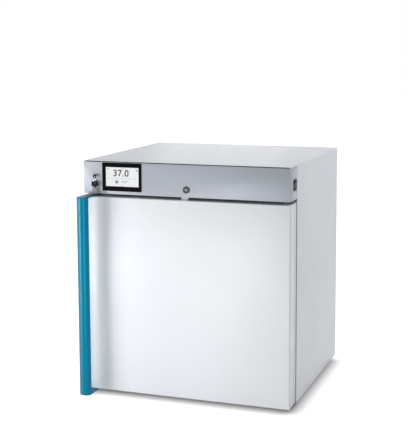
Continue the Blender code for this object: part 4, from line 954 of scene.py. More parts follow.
@dataclass
class Workshop:
    """Finishes pieces: material, body and the solid they stand for."""

    nodes: dict[str, bpy.types.Object]
    count: int = 0

    def fit(
        self,
        name: str,
        mesh: bpy.types.Mesh,
        finish: Finish,
        body: Body,
        stands_for: Sequence[str] = (),
    ) -> bpy.types.Object:
        """Adds a finished piece to the object.

        Args:
            name: The piece's name.
            mesh: Its mesh, already in place.
            finish: Its surface finish.
            body: The body that it rides on.
            stands_for: Solids that it replaces.

        Returns:
            The new object.
        """
        piece = link(name, mesh)
        mesh.materials.clear()
        mesh.materials.append(finish.material())
        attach(piece, body.value)
        if stands_for:
            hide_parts(*stands_for)
        self.count += 1
        LOG.info("%s rides on %s", name, body.value)
        return piece

    def paint(self, node: str, finish: Finish) -> None:
        """Gives a solid its finish and leaves its shape alone.

        Args:
            node: The solid's name.
            finish: Its surface finish.
        """
        solid = self.nodes[node]
        if not solid.material_slots:
            solid.data.materials.append(finish.material())
        for slot in solid.material_slots:
            slot.material = finish.material()
        LOG.info("%s keeps its solid", node)

    def refine(
        self,
        node: str,
        finish: Finish,
        body: Body,
        edge: float = 0.0004,
        steps: int = 3,
        angle: float = 34.0,
    ) -> None:
        """Replaces a solid by a copy with clean faces and rounded edges.

        Args:
            node: The solid's name.
            finish: Its surface finish.
            body: The body that it rides on.
            edge: The edges' radius, or zero for none.
            steps: Segments in each edge.
            angle: Edges sharper than this many degrees are rounded.
        """
        name = node + "_finished"
        shape = bmesh.new()
        shape.from_mesh(self.nodes[node].data)
        bmesh.ops.remove_doubles(shape, verts=shape.verts, dist=DOUBLED)
        bmesh.ops.dissolve_limit(
            shape, angle_limit=math.radians(FLAT_ANGLE), verts=shape.verts, edges=shape.edges
        )
        mesh = smooth(settled(shape, bpy.data.meshes.new(name), outward=False), angle)
        piece = self.fit(name, mesh, finish, body, (node,))
        if edge:
            rounding = piece.modifiers.new("Rounded edges", "BEVEL")
            rounding.width = edge
            rounding.segments = steps
            rounding.limit_method = "ANGLE"
            rounding.angle_limit = math.radians(angle)
            rounding.harden_normals = True

    def refine_all(self, body: Body, *rows: Sequence) -> None:
        """Refines several solids of one body.

        Args:
            body: The body that they ride on.
            *rows: Node and finish, then edge, steps and angle as in refine.
        """
        for node, finish, *rounding in rows:
            self.refine(node, finish, body, *rounding)


# Geometry Nodes
class GeometryTree(NodeSheet):
    """A geometry tree with named inputs that puts copies of an item on points."""

    KINDS = {
        type(None): "NodeSocketObject",
        tuple: "NodeSocketVector",
        float: "NodeSocketFloat",
        int: "NodeSocketInt",
    }

    def __init__(self, name: str, inputs: dict[str, object]) -> None:
        """Makes the tree's interface and its two group nodes.

        Args:
            name: The tree's name.
            inputs: Its inputs' names and first values; None stands for an object.
        """
        super().__init__(bpy.data.node_groups.new(name, "GeometryNodeTree"))
        sockets = self.tree.interface
        for way in ("INPUT", "OUTPUT"):
            sockets.new_socket("Geometry", in_out=way, socket_type="NodeSocketGeometry")
        for title, value in inputs.items():
            socket = sockets.new_socket(title, in_out="INPUT", socket_type=self.KINDS[type(value)])
            if value is not None:
                socket.default_value = value
        sockets.new_socket("Finish", in_out="INPUT", socket_type="NodeSocketMaterial")
        self.inlet = self.add("NodeGroupInput")
        self.outlet = self.add("NodeGroupOutput")

    def fed(self, kind: str, sources: dict[str, str], **values: object) -> bpy.types.Node:
        """Adds a node that the tree's own inputs feed.

        Args:
            kind: The node's type.
            sources: The node's inputs, each with the tree's input that feeds it.
            **values: Properties or input values, as in add.

        Returns:
            The new node.
        """
        node = self.add(kind, **values)
        for into, output in sources.items():
            self.join(self.inlet, output, node, into)
        return node

    def end(
        self,
        points: bpy.types.NodeSocket,
        item: bpy.types.NodeSocket,
        turn: Optional[bpy.types.NodeSocket] = None,
    ) -> None:
        """Copies the item to the points, then Realize Instances and Set Material.

        Args:
            points: The socket with the points.
            item: The socket with the item.
            turn: The socket with each copy's rotation.
        """
        copies = self.add("GeometryNodeInstanceOnPoints")
        real = self.add("GeometryNodeRealizeInstances")
        paint = self.fed("GeometryNodeSetMaterial", {"Material": "Finish"})
        self.links.new(points, copies.inputs["Points"])
        self.links.new(item, copies.inputs["Instance"])
        if turn:
            self.links.new(turn, copies.inputs["Rotation"])
        self.join(copies, "Instances", real, "Geometry")
        self.join(real, "Geometry", paint, "Geometry")
        self.join(paint, "Geometry", self.outlet, "Geometry")

    def run(
        self,
        name: str,
        finish: Finish,
        values: dict[str, object],
        base: Optional[bpy.types.Mesh] = None,
    ) -> bpy.types.Mesh:
        """Applies the tree and returns its result as a plain mesh.

        Args:
            name: The mesh's name.
            finish: The finish given to the result.
            values: Values of the named inputs.
            base: The mesh that the tree starts from.

        Returns:
            The plain mesh.
        """
        holder = link(name, base or bpy.data.meshes.new(name))
        modifier = holder.modifiers.new(self.tree.name, "NODES")
        modifier.node_group = self.tree
        values = dict(values, Finish=finish.material())
        for item in self.tree.interface.items_tree:
            if item.in_out == "INPUT" and item.name in values:
                modifier[item.identifier] = values[item.name]
        return evaluated_mesh(holder, name)


def scatter_tree() -> GeometryTree:
    """A tree that puts one item on every point, each turned about its axis by chance.

    Returns:
        The tree.
    """
    inputs = {"Item": None, "Axis": UP, "Largest turn": TURN, "Seed": 3}
    tree = GeometryTree("Items on points", inputs)
    item = tree.fed("GeometryNodeObjectInfo", {"Object": "Item"})
    chance = tree.fed("FunctionNodeRandomValue", {"Seed": "Seed"}, data_type="FLOAT")
    tree.join(tree.inlet, "Largest turn", chance, 3)
    turn = tree.fed("FunctionNodeAxisAngleToRotation", {"Axis": "Axis"})
    tree.join(chance, 1, turn, "Angle")
    tree.end(tree.inlet.outputs["Geometry"], item.outputs["Geometry"], turn.outputs["Rotation"])
    return tree


def wire_row_tree() -> GeometryTree:
    """A tree of straight round wires in a row, from named sizes.

    Returns:
        The tree.
    """
    inputs = {"Start": NOWHERE, "End": REAR, "Step": (0.02, 0.0, 0.0)}
    inputs.update({"Count": 10, "Radius": 0.001, "Sides": 14})
    tree = GeometryTree("Row of wires", inputs)
    line = tree.fed("GeometryNodeCurvePrimitiveLine", {"Start": "Start", "End": "End"})
    feed = {"Resolution": "Sides", "Radius": "Radius"}
    ring = tree.fed("GeometryNodeCurvePrimitiveCircle", feed)
    wire = tree.add("GeometryNodeCurveToMesh", Fill_Caps=True)
    tree.join(line, "Curve", wire, "Curve")
    tree.join(ring, "Curve", wire, "Profile Curve")
    row = tree.fed("GeometryNodeMeshLine", {"Count": "Count", "Offset": "Step"}, mode="OFFSET")
    tree.end(row.outputs["Mesh"], wire.outputs["Mesh"])
    return tree


def blade_ring_tree() -> GeometryTree:
    """A tree that turns one blade about an axis through a centre, a number of times.

    Returns:
        The tree.
    """
    tree = GeometryTree("Ring of blades", {"Count": 10, "Centre": NOWHERE})
    feed = {"Count": "Count", "Start Location": "Centre"}
    points = tree.fed("GeometryNodeMeshLine", feed, mode="OFFSET", Offset=NOWHERE)
    share = tree.add("ShaderNodeMath", operation="DIVIDE")
    tree.join(tree.add("GeometryNodeInputIndex"), "Index", share, 0)
    tree.join(tree.inlet, "Count", share, 1)
    angle = tree.add("ShaderNodeMath", operation="MULTIPLY")
    angle.inputs[1].default_value = TURN
    tree.join(share, 0, angle, 0)
    turn = tree.add("FunctionNodeAxisAngleToRotation", Axis=REAR)
    tree.join(angle, 0, turn, "Angle")
    tree.end(points.outputs["Mesh"], tree.inlet.outputs["Geometry"], turn.outputs["Rotation"])
    return tree


@dataclass
class ScrewSet:
    """Pan-head screws, set on points by the scatter tree."""

    shop: Workshop
    tree: GeometryTree
    radius: float = 0.0032
    height: float = 0.0014

    def head(self, direction: Sequence[float]) -> bpy.types.Object:
        """One domed head with a round socket recess, its seat at the origin.

        Args:
            direction: The way that the head faces.

        Returns:
            A helper object, removed after use.
        """
        dome = arc((0.0, -self.radius * 1.2), self.radius * 1.2 + self.height, 90, 58, 6)
        profile = [(0.0, self.height * 0.45), (self.radius * 0.48, self.height * 0.45)]
        profile += [(self.radius * 0.5, self.height)]
        rim = [(radius, height) for radius, height in dome if radius > self.radius * 0.55]
        profile += [(min(radius, self.radius), max(height, 0.0004)) for radius, height in rim]
        profile += [(self.radius, 0.0), (0.0, 0.0)]
        return link("screw head", lathe("screw head", profile, (0, 0, 0), direction, 24))

    def drive(
        self,
        name: str,
        places: Sequence[Sequence[float]],
        direction: Sequence[float],
        body: Body = Body.CABINET,
    ) -> None:
        """Adds screw heads at several places as one piece.

        Args:
            name: The piece's name.
            places: The heads' seats.
            direction: The way that they face.
            body: The body that they ride on.
        """
        points = bpy.data.meshes.new(name)
        points.from_pydata([tuple(place) for place in places], [], [])
        head = self.head(direction)
        values = {"Item": head, "Axis": tuple(direction), "Seed": len(places)}
        mesh = self.tree.run(name, SCREW_ZINC, values, points)
        bpy.data.objects.remove(head, do_unlink=True)
        self.shop.fit(name, mesh, SCREW_ZINC, body)


# Housing
@dataclass
class Housing:
    """The folded wrap, the base, the frame round the mouth and the rear panel."""

    shop: Workshop
    screws: ScrewSet
    inset: float = 0.010
    gaps: int = 4

    def build(self) -> None:
        """Dresses the sheets and puts screws along the rear panel's edges."""
        self.shop.refine_all(
            Body.CABINET,
            ("housing_wrap", WHITE_COAT, 0.0005, 2, 30),
            ("front_frame", LINER_COAT, 0.0003),
            ("base_pan", ZINC, *PLAIN_EDGE),
            ("rear_panel", ZINC, *THIN_EDGE),
        )
        rear, inset = Span.of("rear_panel"), self.inset
        places = []
        for step in range(self.gaps + 1):
            x = rear.low.x + inset + (rear.size.x - 2 * inset) * step / self.gaps
            places += [(x, rear.high.y, z) for z in (rear.low.z + inset, rear.high.z - inset)]
        for step in range(1, self.gaps):
            z = rear.low.z + inset + (rear.size.z - 2 * inset) * step / self.gaps
            places += [(x, rear.high.y, z) for x in (rear.low.x + inset, rear.high.x - inset)]
        self.screws.drive("rear_panel_screws", places, REAR)


@dataclass
class Chamber:
    """The stainless chamber with its racks, shelves, baffle and what is behind it."""

    shop: Workshop
    screws: ScrewSet
    wires: GeometryTree
    blades: GeometryTree
    probe_reach: float = 0.036
    wire_radius: float = 0.0013
    rod_radius: float = 0.002
    frame_radius: float = 0.0025
    wire_count: int = 25
    corner: float = 0.012
    baffle_inset: float = 0.014

    def build(self) -> None:
        """Dresses the chamber and everything in it."""
        self.shop.refine_all(
            Body.CABINET,
            ("inner_chamber", CHAMBER_STEEL, *THIN_EDGE),
            ("air_baffle", SHEET_STEEL, *THIN_EDGE),
            ("shelf_rail_left", SHEET_STEEL, *PLAIN_EDGE),
            ("shelf_rail_right", SHEET_STEEL, *PLAIN_EDGE),
        )
        self.shop.paint("insulation_jacket", WOOL)
        self.shop.paint("jacket_back_sheet", ZINC)
        self.shop.paint("compartment_floor", ZINC)
        self.shelf("wire_shelf_1", Body.SHELF_LOWER)
        self.shelf("wire_shelf_2", Body.SHELF_UPPER)
        self.fan()
        self.motor()
        self.heater()
        self.probe()
        baffle, inset = Span.of("air_baffle"), self.baffle_inset
        places = [
            (x, baffle.low.y, z)
            for x in (baffle.low.x + inset, baffle.high.x - inset)
            for z in (baffle.low.z + inset, baffle.high.z - inset)
        ]
        self.screws.drive("baffle_screws", places, FRONT)

    def shelf(self, node: str, body: Body) -> None:
        """A round frame, the row of thin wires and the cross rods.

        Args:
            node: The shelf's solid.
            body: The body that it rides on.
        """
        span, radius = Span.of(node), self.frame_radius
        height = span.low.z + radius
        low = (span.low.x + radius, span.low.y + radius)
        high = (span.high.x - radius, span.high.y - radius)
        path = [(x, y, height) for x, y in rounded(low, high, self.corner, 8)]
        frame = sweep(node + "_frame", path, radius, cyclic=True)
        self.shop.fit(node + "_frame", frame, WIRE_STEEL, body, (node,))
        top = height + self.rod_radius
        first = span.low.x + self.corner
        pitch = (span.size.x - 2 * self.corner) / (self.wire_count - 1)
        wire = (self.wire_count, self.wire_radius, 14)
        quarter = span.low.y + span.size.y * 0.25
        apart = (0.0, span.size.y * 0.5, 0.0)
        rod = (2, self.rod_radius, 18)
        for ending, *values in (
            ("_wires", (first, low[1], top), (first, high[1], top), (pitch, 0.0, 0.0), *wire),
            ("_rods", (low[0], quarter, height), (high[0], quarter, height), apart, *rod),
        ):
            row = dict(zip(("Start", "End", "Step", "Count", "Radius", "Sides"), values))
            mesh = smooth(self.wires.run(node + ending, WIRE_STEEL, row))
            self.shop.fit(node + ending, mesh, WIRE_STEEL, body)

    def fan(self) -> None:
        """The impeller: disc, hub and shaft turned, blades from the ring tree."""
        span = Span.of("fan_rotor")
        radius, length = span.size.x / 2, span.size.y
        centre = span.face(Axis.Y)
        depth, disc, shaft, hub, edge = 0.018, 0.0015, 0.004, 0.012, 0.0004
        profile = [(0.0, 0.0), (hub * 0.5, 0.0)]
        profile += arc((hub * 0.5, -0.0045), 0.0045, 90, 20, 5)[1:]
        profile += [(hub, -0.004), (hub, disc - depth), (radius - edge, disc - depth)]
        profile += [(radius, disc - depth - edge), (radius, edge - depth)]
        profile += [(radius - edge, -depth), (shaft, -depth), (shaft, 0.0006 - length)]
        profile += [(shaft - 0.0006, -length), (0.0, -length)]
        wheel = lathe("fan_wheel", profile, centre, FRONT, 96)
        self.shop.fit("fan_wheel", wheel, SHEET_STEEL, Body.FAN, ("fan_rotor",))
        inner, half = radius * 0.7, disc / 2
        profile = [(radius, -half), (radius, half), (inner, half), (inner, -half)]
        ring = lathe("fan_front_ring", profile, centre, FRONT, 96, closed=True)
        self.shop.fit("fan_front_ring", ring, SHEET_STEEL, Body.FAN)
        blade = slab("fan_blade", [self.blade_outline(radius, hub)], Axis.Y, half, depth - disc)
        mesh = self.blades.run("fan_blades", SHEET_STEEL, {"Count": 10, "Centre": centre}, blade)
        self.shop.fit("fan_blades", mesh, SHEET_STEEL, Body.FAN)

    def blade_outline(self, radius: float, hub: float) -> list[Point2]:
        """One backward-swept blade as a bent strip.

        Args:
            radius: The wheel's radius.
            hub: The hub's radius.

        Returns:
            The closed outline about the fan's axis.
        """
        steps = 12
        inner = hub * 2.0
        outer = radius - 0.0008
        sweep_angle = math.radians(34)
        thickness = 0.0016
        sides: tuple[list[Point2], list[Point2]] = ([], [])
        for step in range(steps + 1):
            share = step / steps
            reach = inner + (outer - inner) * share
            angle = -sweep_angle * share**1.3
            half = thickness / 2 / reach * 1.25
            for sign, points in zip((1, -1), sides):
                bend = angle + sign * half
                points.append((reach * math.cos(bend), reach * math.sin(bend)))
        return sides[0] + sides[1][::-1]

    def motor(self) -> None:
        """The motor can with its cooling grooves."""
        span = Span.of("fan_motor")
        length, rim, bore, grooves, ends, deep = span.size.y, 0.010, 0.0046, 7, 0.010, 0.0012
        radius = span.size.x / 2 - rim
        profile = [(bore, length), (radius - 0.004, length)]
        profile += arc((radius - 0.004, length - 0.004), 0.004, 80, 0, 6)
        pitch = (length - 2 * ends) / grooves
        for groove in range(grooves):
            low = length - ends - groove * pitch
            profile += [(radius, low), (radius - deep, low - 0.0008)]
            profile += [(radius - deep, low - 0.0024), (radius, low - 0.0032)]
        profile += [(radius, 0.004), (radius + 0.0092, 0.004), (radius + rim, 0.0032)]
        profile += [(radius + rim, 0.0), (bore, 0.0)]
        can = lathe("fan_motor_can", profile, span.face(Axis.Y), REAR, 72, closed=True)
        self.shop.fit("fan_motor_can", can, MOTOR_COAT, Body.CABINET, ("fan_motor",))

    def heater(self) -> None:
        """The ring heater's sheathed tube."""
        span = Span.of("heater_ring")
        tube, gap, steps = 0.0033, 16, 72
        radius = (span.size.x - 2 * tube) / 2
        middle = (span.middle.x, span.high.z - tube - radius)
        ring = arc(middle, radius, 270 + gap, 630 - gap, steps)
        loop = [(x, span.low.y + tube, z) for x, z in ring]
        start, end = [(loop[place][0], span.high.y, loop[place][2]) for place in (0, -1)]
        mesh = sweep("heater_tube", [start, *loop, end], tube)
        self.shop.fit("heater_tube", mesh, HEATER_SHEATH, Body.CABINET, ("heater_ring",))

    def probe(self) -> None:
        """The temperature probe with its round tip and collar."""
        span = Span.of("temperature_sensor")
        length, collar = span.size.y, span.size.x / 2
        radius = collar / 3
        wall = length - self.probe_reach
        profile = [(0.0, length)] + arc((0.0, length - radius), radius, 80, 0, 5)
        profile += [(radius, wall + 0.0057), (collar - 0.0008, wall + 0.0057)]
        profile += [(collar, wall + 0.0048), (collar, wall), (radius, wall), (radius, 0.0)]
        profile += [(0.0, 0.0)]
        mesh = lathe("temperature_probe", profile, span.face(Axis.Y, high=True), FRONT, 40)
        self.shop.fit("temperature_probe", mesh, WIRE_STEEL, Body.CABINET, ("temperature_sensor",))


@dataclass
class RearFittings:
    """The mains inlet and the access port with its plug."""

    shop: Workshop
    screws: ScrewSet
    plug_length: float = 0.085

    def build(self) -> None:
        """Dresses the inlet, the sleeve and the plug."""
        self.shop.refine("mains_inlet", BLACK_PLASTIC, Body.CABINET, *MOULDED_EDGE)
        x, y, z = Span.of("mains_inlet").face(Axis.Y, high=True)
        self.screws.drive("inlet_screws", [(x + off, y, z) for off in (-0.02, 0.02)], REAR)
        self.sleeve()
        self.plug()

    def sleeve(self) -> None:
        """The port's steel sleeve with its rounded rear flange."""
        span = Span.of("port_sleeve")
        length, flange, edge = span.size.y, span.size.x / 2, 0.0006
        outside = flange - 0.005
        bore = outside - 0.003
        profile = [(bore, length - edge), (bore + edge, length), (flange - edge, length)]
        profile += [(flange, length - edge), (flange, length - 0.002), (outside, length - 0.002)]
        profile += [(outside, 0.0), (bore, 0.0)]
        mesh = lathe("port_tube", profile, span.face(Axis.Y), REAR, 72, closed=True)
        self.shop.fit("port_tube", mesh, SHEET_STEEL, Body.CABINET, ("port_sleeve",))

    def plug(self) -> None:
        """The silicone plug with its soft head and sealing ribs."""
        span = Span.of("port_plug")
        length, head, edge = self.plug_length, span.size.x / 2, 0.0022
        bore = head - 0.005
        thick = span.size.y - length
        x, y, z = span.face(Axis.Y)
        profile = [(0.0, thick - 0.001), (head * 0.55, thick - 0.001), (head * 0.6, thick)]
        profile += arc((head - edge, thick - edge), edge, 90, 0, 6)
        profile += arc((head - 0.001, 0.001), 0.001, 0, -90, 3)
        reach = bore - 0.0003
        profile += [(reach, 0.0)]
        for rib in range(4):
            level = -0.010 - rib * 0.016
            profile += [(reach - 0.0006, level), (reach - 0.0003, level - 0.002)]
            profile += [(reach - 0.0006 - rib * 0.0003, level - 0.004)]
        profile += [(bore - 0.002, 0.001 - length), (bore - 0.003, -length), (0.0, -length)]
        mesh = lathe("port_stopper", profile, (x, y + length, z), REAR, 64)
        self.shop.fit("port_stopper", mesh, SILICONE, Body.PLUG, ("port_plug",))


@dataclass
class Electronics:
    """What sits in the compartment above the chamber."""

    shop: Workshop

    def build(self) -> None:
        """Dresses the board and the supply."""
        self.shop.refine("control_board", BOARD, Body.CABINET, *PLAIN_EDGE)
        self.shop.refine("power_supply", SUPPLY_CASE, Body.CABINET, 0.0006, 2)


@dataclass
class ControlPanel:
    """The fascia with the display, the rocker, the lock and the keys."""

    shop: Workshop
    digits_height: float = 0.0175
    digits_place: Point2 = (0.46, 0.68)
    digits_scale: float = 1.38
    digits_spacing: float = 1.08
    digits_weight: float = 0.022
    degree_place: Point2 = (0.715, 0.82)
    sign_place: Point2 = (0.33, 0.235)
    rule: tuple[Point2, Point2] = ((0.05, 0.425), (0.95, 0.435))
    border: tuple[float, float, float, float] = (0.0030, 0.0036, 0.0016, 0.0030)
    bars: tuple[tuple[float, float, float, float], ...] = (
        (0.58, 0.285, 0.21, 0.022),
        (0.55, 0.205, 0.15, 0.022),
        (0.50, 0.935, 0.05, 0.018),
        (0.06, 0.92, 0.03, 0.040),
        (0.945, 0.86, 0.045, 0.060),
        (0.50, 0.035, 0.12, 0.012),
    )

    def build(self) -> None:
        """Dresses the fascia and everything on it."""
        self.shop.refine_all(
            Body.CABINET,
            ("control_fascia", GREY_COAT, *THIN_EDGE),
            ("display_bezel", GLOSS_BLACK, 0.0005, 3, 40),
            ("display_glass", GLASS, 0.0002, 2),
        )
        self.screen()
        self.lock()
        self.keys()
        self.shop.refine("rocker_frame", BLACK_PLASTIC, Body.CABINET, 0.0004, 3)
        self.shop.refine("rocker_cap", BLACK_PLASTIC, Body.ROCKER, 0.0006, 3)
        self.rocker_signs()

    def screen(self) -> None:
        """The lit panel with its border, reading, marks and fan sign."""
        glass, module = Span.of("display_glass"), Span.of("display_module")
        self.display_back(module)
        face = module.low.y + 0.0004
        low = (glass.low.x + self.border[0], glass.low.z + self.border[1])
        high = (glass.high.x - self.border[2], glass.high.z - self.border[3])
        back = face + 0.0006
        mesh = block("lit_panel", (low[0], face, low[1]), (high[0], back, high[1]), 0.00002, 1)
        self.shop.fit("lit_panel", mesh, SCREEN_LIT, Body.CABINET)
        outlines = [corners(*glass.front, 0.0004), corners(low, high)]
        mask = slab("display_border", outlines, Axis.Y, face - 0.0002, face + 0.0004)
        self.shop.fit("display_border", mask, BLACK_MASK_AND_SLOT_SHADE, Body.CABINET)
        wide, tall = high[0] - low[0], high[1] - low[1]
        depths = (module.low.y, module.low.y + 0.0001)

        def at(across: float, up: float) -> Point2:
            """A place on the lit area, as shares of its width and height."""
            return (low[0] + wide * across, low[1] + tall * up)

        reading = self.text("37.0", at(*self.digits_place), self.digits_height, depths)
        self.shop.fit("reading", reading, SCREEN_INK, Body.CABINET)
        ring = at(*self.degree_place)
        outlines = [circle(ring, 0.0016, 24), circle(ring, 0.0010, 24)]
        marks = [slab("degree", outlines, Axis.Y, *depths)]
        for across, up, wide_share, tall_share in self.bars:
            x, z = at(across, up)
            side, rise = wide * wide_share / 2, tall * tall_share / 2
            outline = rounded((x - side, z - rise), (x + side, z + rise), min(side, rise) * 0.6, 3)
            marks.append(slab("mark", [outline], Axis.Y, *depths))
        line = corners(*(at(*end) for end in self.rule))
        marks.append(slab("rule", [line], Axis.Y, *depths))
        self.shop.fit("display_marks", merged("display_marks", marks), SCREEN_SOFT, Body.CABINET)
        self.fan_sign(at(*self.sign_place), depths)

    def fan_sign(self, centre: Point2, depths: Point2) -> None:
        """A small four-bladed fan sign.

        Args:
            centre: Its centre on the display.
            depths: Its front and back levels.
        """
        reach, lobe, hub, blades, lead = 0.0029, 0.0019, 0.0005, 4, 0.5
        lobes = []
        for blade in range(blades):
            angle = TURN * blade / blades + lead
            middle = (centre[0] + reach * math.cos(angle), centre[1] + reach * math.sin(angle))
            lobes.append(slab("lobe", [circle(middle, lobe, 20)], Axis.Y, *depths))
        lobes.append(slab("hub", [circle(centre, hub, 12)], Axis.Y, *depths))
        self.shop.fit("fan_sign", merged("fan_sign", lobes), SCREEN_GREY, Body.CABINET)

    def display_back(self, module: Span) -> None:
        """The display's frame, and its board set back behind the lit panel.

        Args:
            module: The display module's box.
        """
        depth = module.low.y
        outlines = [corners(*module.front), corners(*module.front, 0.0008)]
        frame = slab("display_frame", outlines, Axis.Y, depth + 0.0003, depth + 0.0013)
        self.shop.fit("display_frame", frame, ZINC, Body.CABINET)
        low = (module.low.x, depth + 0.0016, module.low.z)
        board = block("display_board", low, module.high, 0.0003)
        self.shop.fit("display_board", board, BOARD, Body.CABINET, ("display_module",))

    def text(self, words: str, centre: Point2, height: float, depths: Point2) -> bpy.types.Mesh:
        """Plain figures as a thin mesh that faces the front.

        Args:
            words: The figures.
            centre: Their middle.
            height: The height of a figure.
            depths: Their front and back levels.

        Returns:
            The closed mesh.
        """
        curve = bpy.data.curves.new(words, "FONT")
        curve.body = words
        curve.align_x = "CENTER"
        curve.align_y = "CENTER"
        curve.size = height * self.digits_scale
        curve.space_character = self.digits_spacing
        curve.offset = height * self.digits_weight
        curve.extrude = (depths[1] - depths[0]) / 2
        holder = link(words, curve)
        where = Vector((centre[0], sum(depths) / 2, centre[1]))
        holder.matrix_world = Matrix.Translation(where) @ TURNS[Axis.Y]
        return cleaned(evaluated_mesh(holder, words))

    def lock(self) -> None:
        """The lock's flanged housing, its nut, its plug with the key slot, the cam, and a dark
        block that paints shade in the slot.
        """
        span, plug = Span.of("lock_housing"), Span.of("lock_plug")
        length, flange, barrel, edge = span.size.y, span.size.x / 2, 0.006, 0.0007
        bore = plug.size.x / 2 + 0.0003
        profile = [(bore, -0.0010), (bore + 0.0004, -0.0004), (flange * 0.72, -0.0004)]
        profile += [(flange * 0.76, 0.0)] + arc((flange - edge, -edge), edge, 90, 0, 5)
        profile += [(flange, -0.0015), (barrel, -0.0015), (barrel, -length), (bore, -length)]
        mesh = lathe("lock_body", profile, span.face(Axis.Y), FRONT, 64, closed=True)
        self.shop.fit("lock_body", mesh, LOCK_STEEL, Body.CABINET, ("lock_housing",))
        self.shop.refine("lock_nut", ZINC, Body.CABINET, *PLAIN_EDGE)
        self.shop.refine("lock_plug", PLUG_STEEL, Body.LOCK, 0.0001, 1, 50)
        self.shop.refine("lock_cam", ZINC, Body.LOCK, 0.0003, 2, 50)
        # A near-black block at the bottom of the key slot: painted shade in the slot's depth.
        half = Vector((0.0005, 0.0003, 0.0029))
        middle = Vector((plug.middle.x, plug.low.y + 0.0015, plug.middle.z))
        mesh = block("key_slot_floor", middle - half, middle + half, 0.00005, 1)
        self.shop.fit("key_slot_floor", mesh, BLACK_MASK_AND_SLOT_SHADE, Body.LOCK)

    def keys(self) -> None:
        """The eye peg, the ring and both keys."""
        self.shop.refine("key_peg", BLACK_PLASTIC, Body.CABINET, 0.0003, 3, 40)
        ring = Span.of("key_ring")
        wire = ring.size.x / 2
        x, *middle = ring.middle
        path = [(x, y, z) for y, z in circle(middle, ring.size.y / 2 - wire, 48)]
        mesh = sweep("split_ring", path, wire * 0.98, cyclic=True, sides=5)
        self.shop.fit("split_ring", mesh, POLISHED, Body.RING, ("key_ring",))
        for name, body in (("front", Body.KEY_FRONT), ("rear", Body.KEY_REAR)):
            self.shop.refine("key_%s_bow" % name, BLACK_PLASTIC, body, *MOULDED_EDGE)
            self.shop.refine("key_%s_blade" % name, KEY_STEEL, body, 0.00015, 2, 30)

    def rocker_signs(self) -> None:
        """A bar on the upper half and a ring on the lower half, just proud of the cap."""
        cap = Span.of("rocker_cap")
        tilt, half, share = math.radians(7), 0.010, 0.55
        valley = math.tan(tilt) * half
        face = 0.0062 + valley * share
        pivot = Vector((cap.high.x - 0.0086, cap.middle.y, Span.of("rocker_frame").middle.z))
        place = Matrix.Translation(pivot) @ Matrix.Rotation(tilt, 4, "Y")
        bar = [rounded((-0.0004, -0.0022), (0.0004, 0.0022), 0.0003, 2)]
        ring = [circle((0.0, 0.0), radius, 24) for radius in (0.0022, 0.0015)]
        signs = []
        for side, outlines in ((1, bar), (-1, ring)):
            sign = slab("sign", outlines, Axis.X, -0.0001, 0.00012)
            lean = Matrix.Rotation(-side * math.atan2(valley, half), 4, "Y")
            sign.transform(place @ Matrix.Translation((face, 0.0, side * half * share)) @ lean)
            signs.append(sign)
        self.shop.fit("rocker_signs", merged("rocker_signs", signs), LEGEND_WHITE, Body.ROCKER)


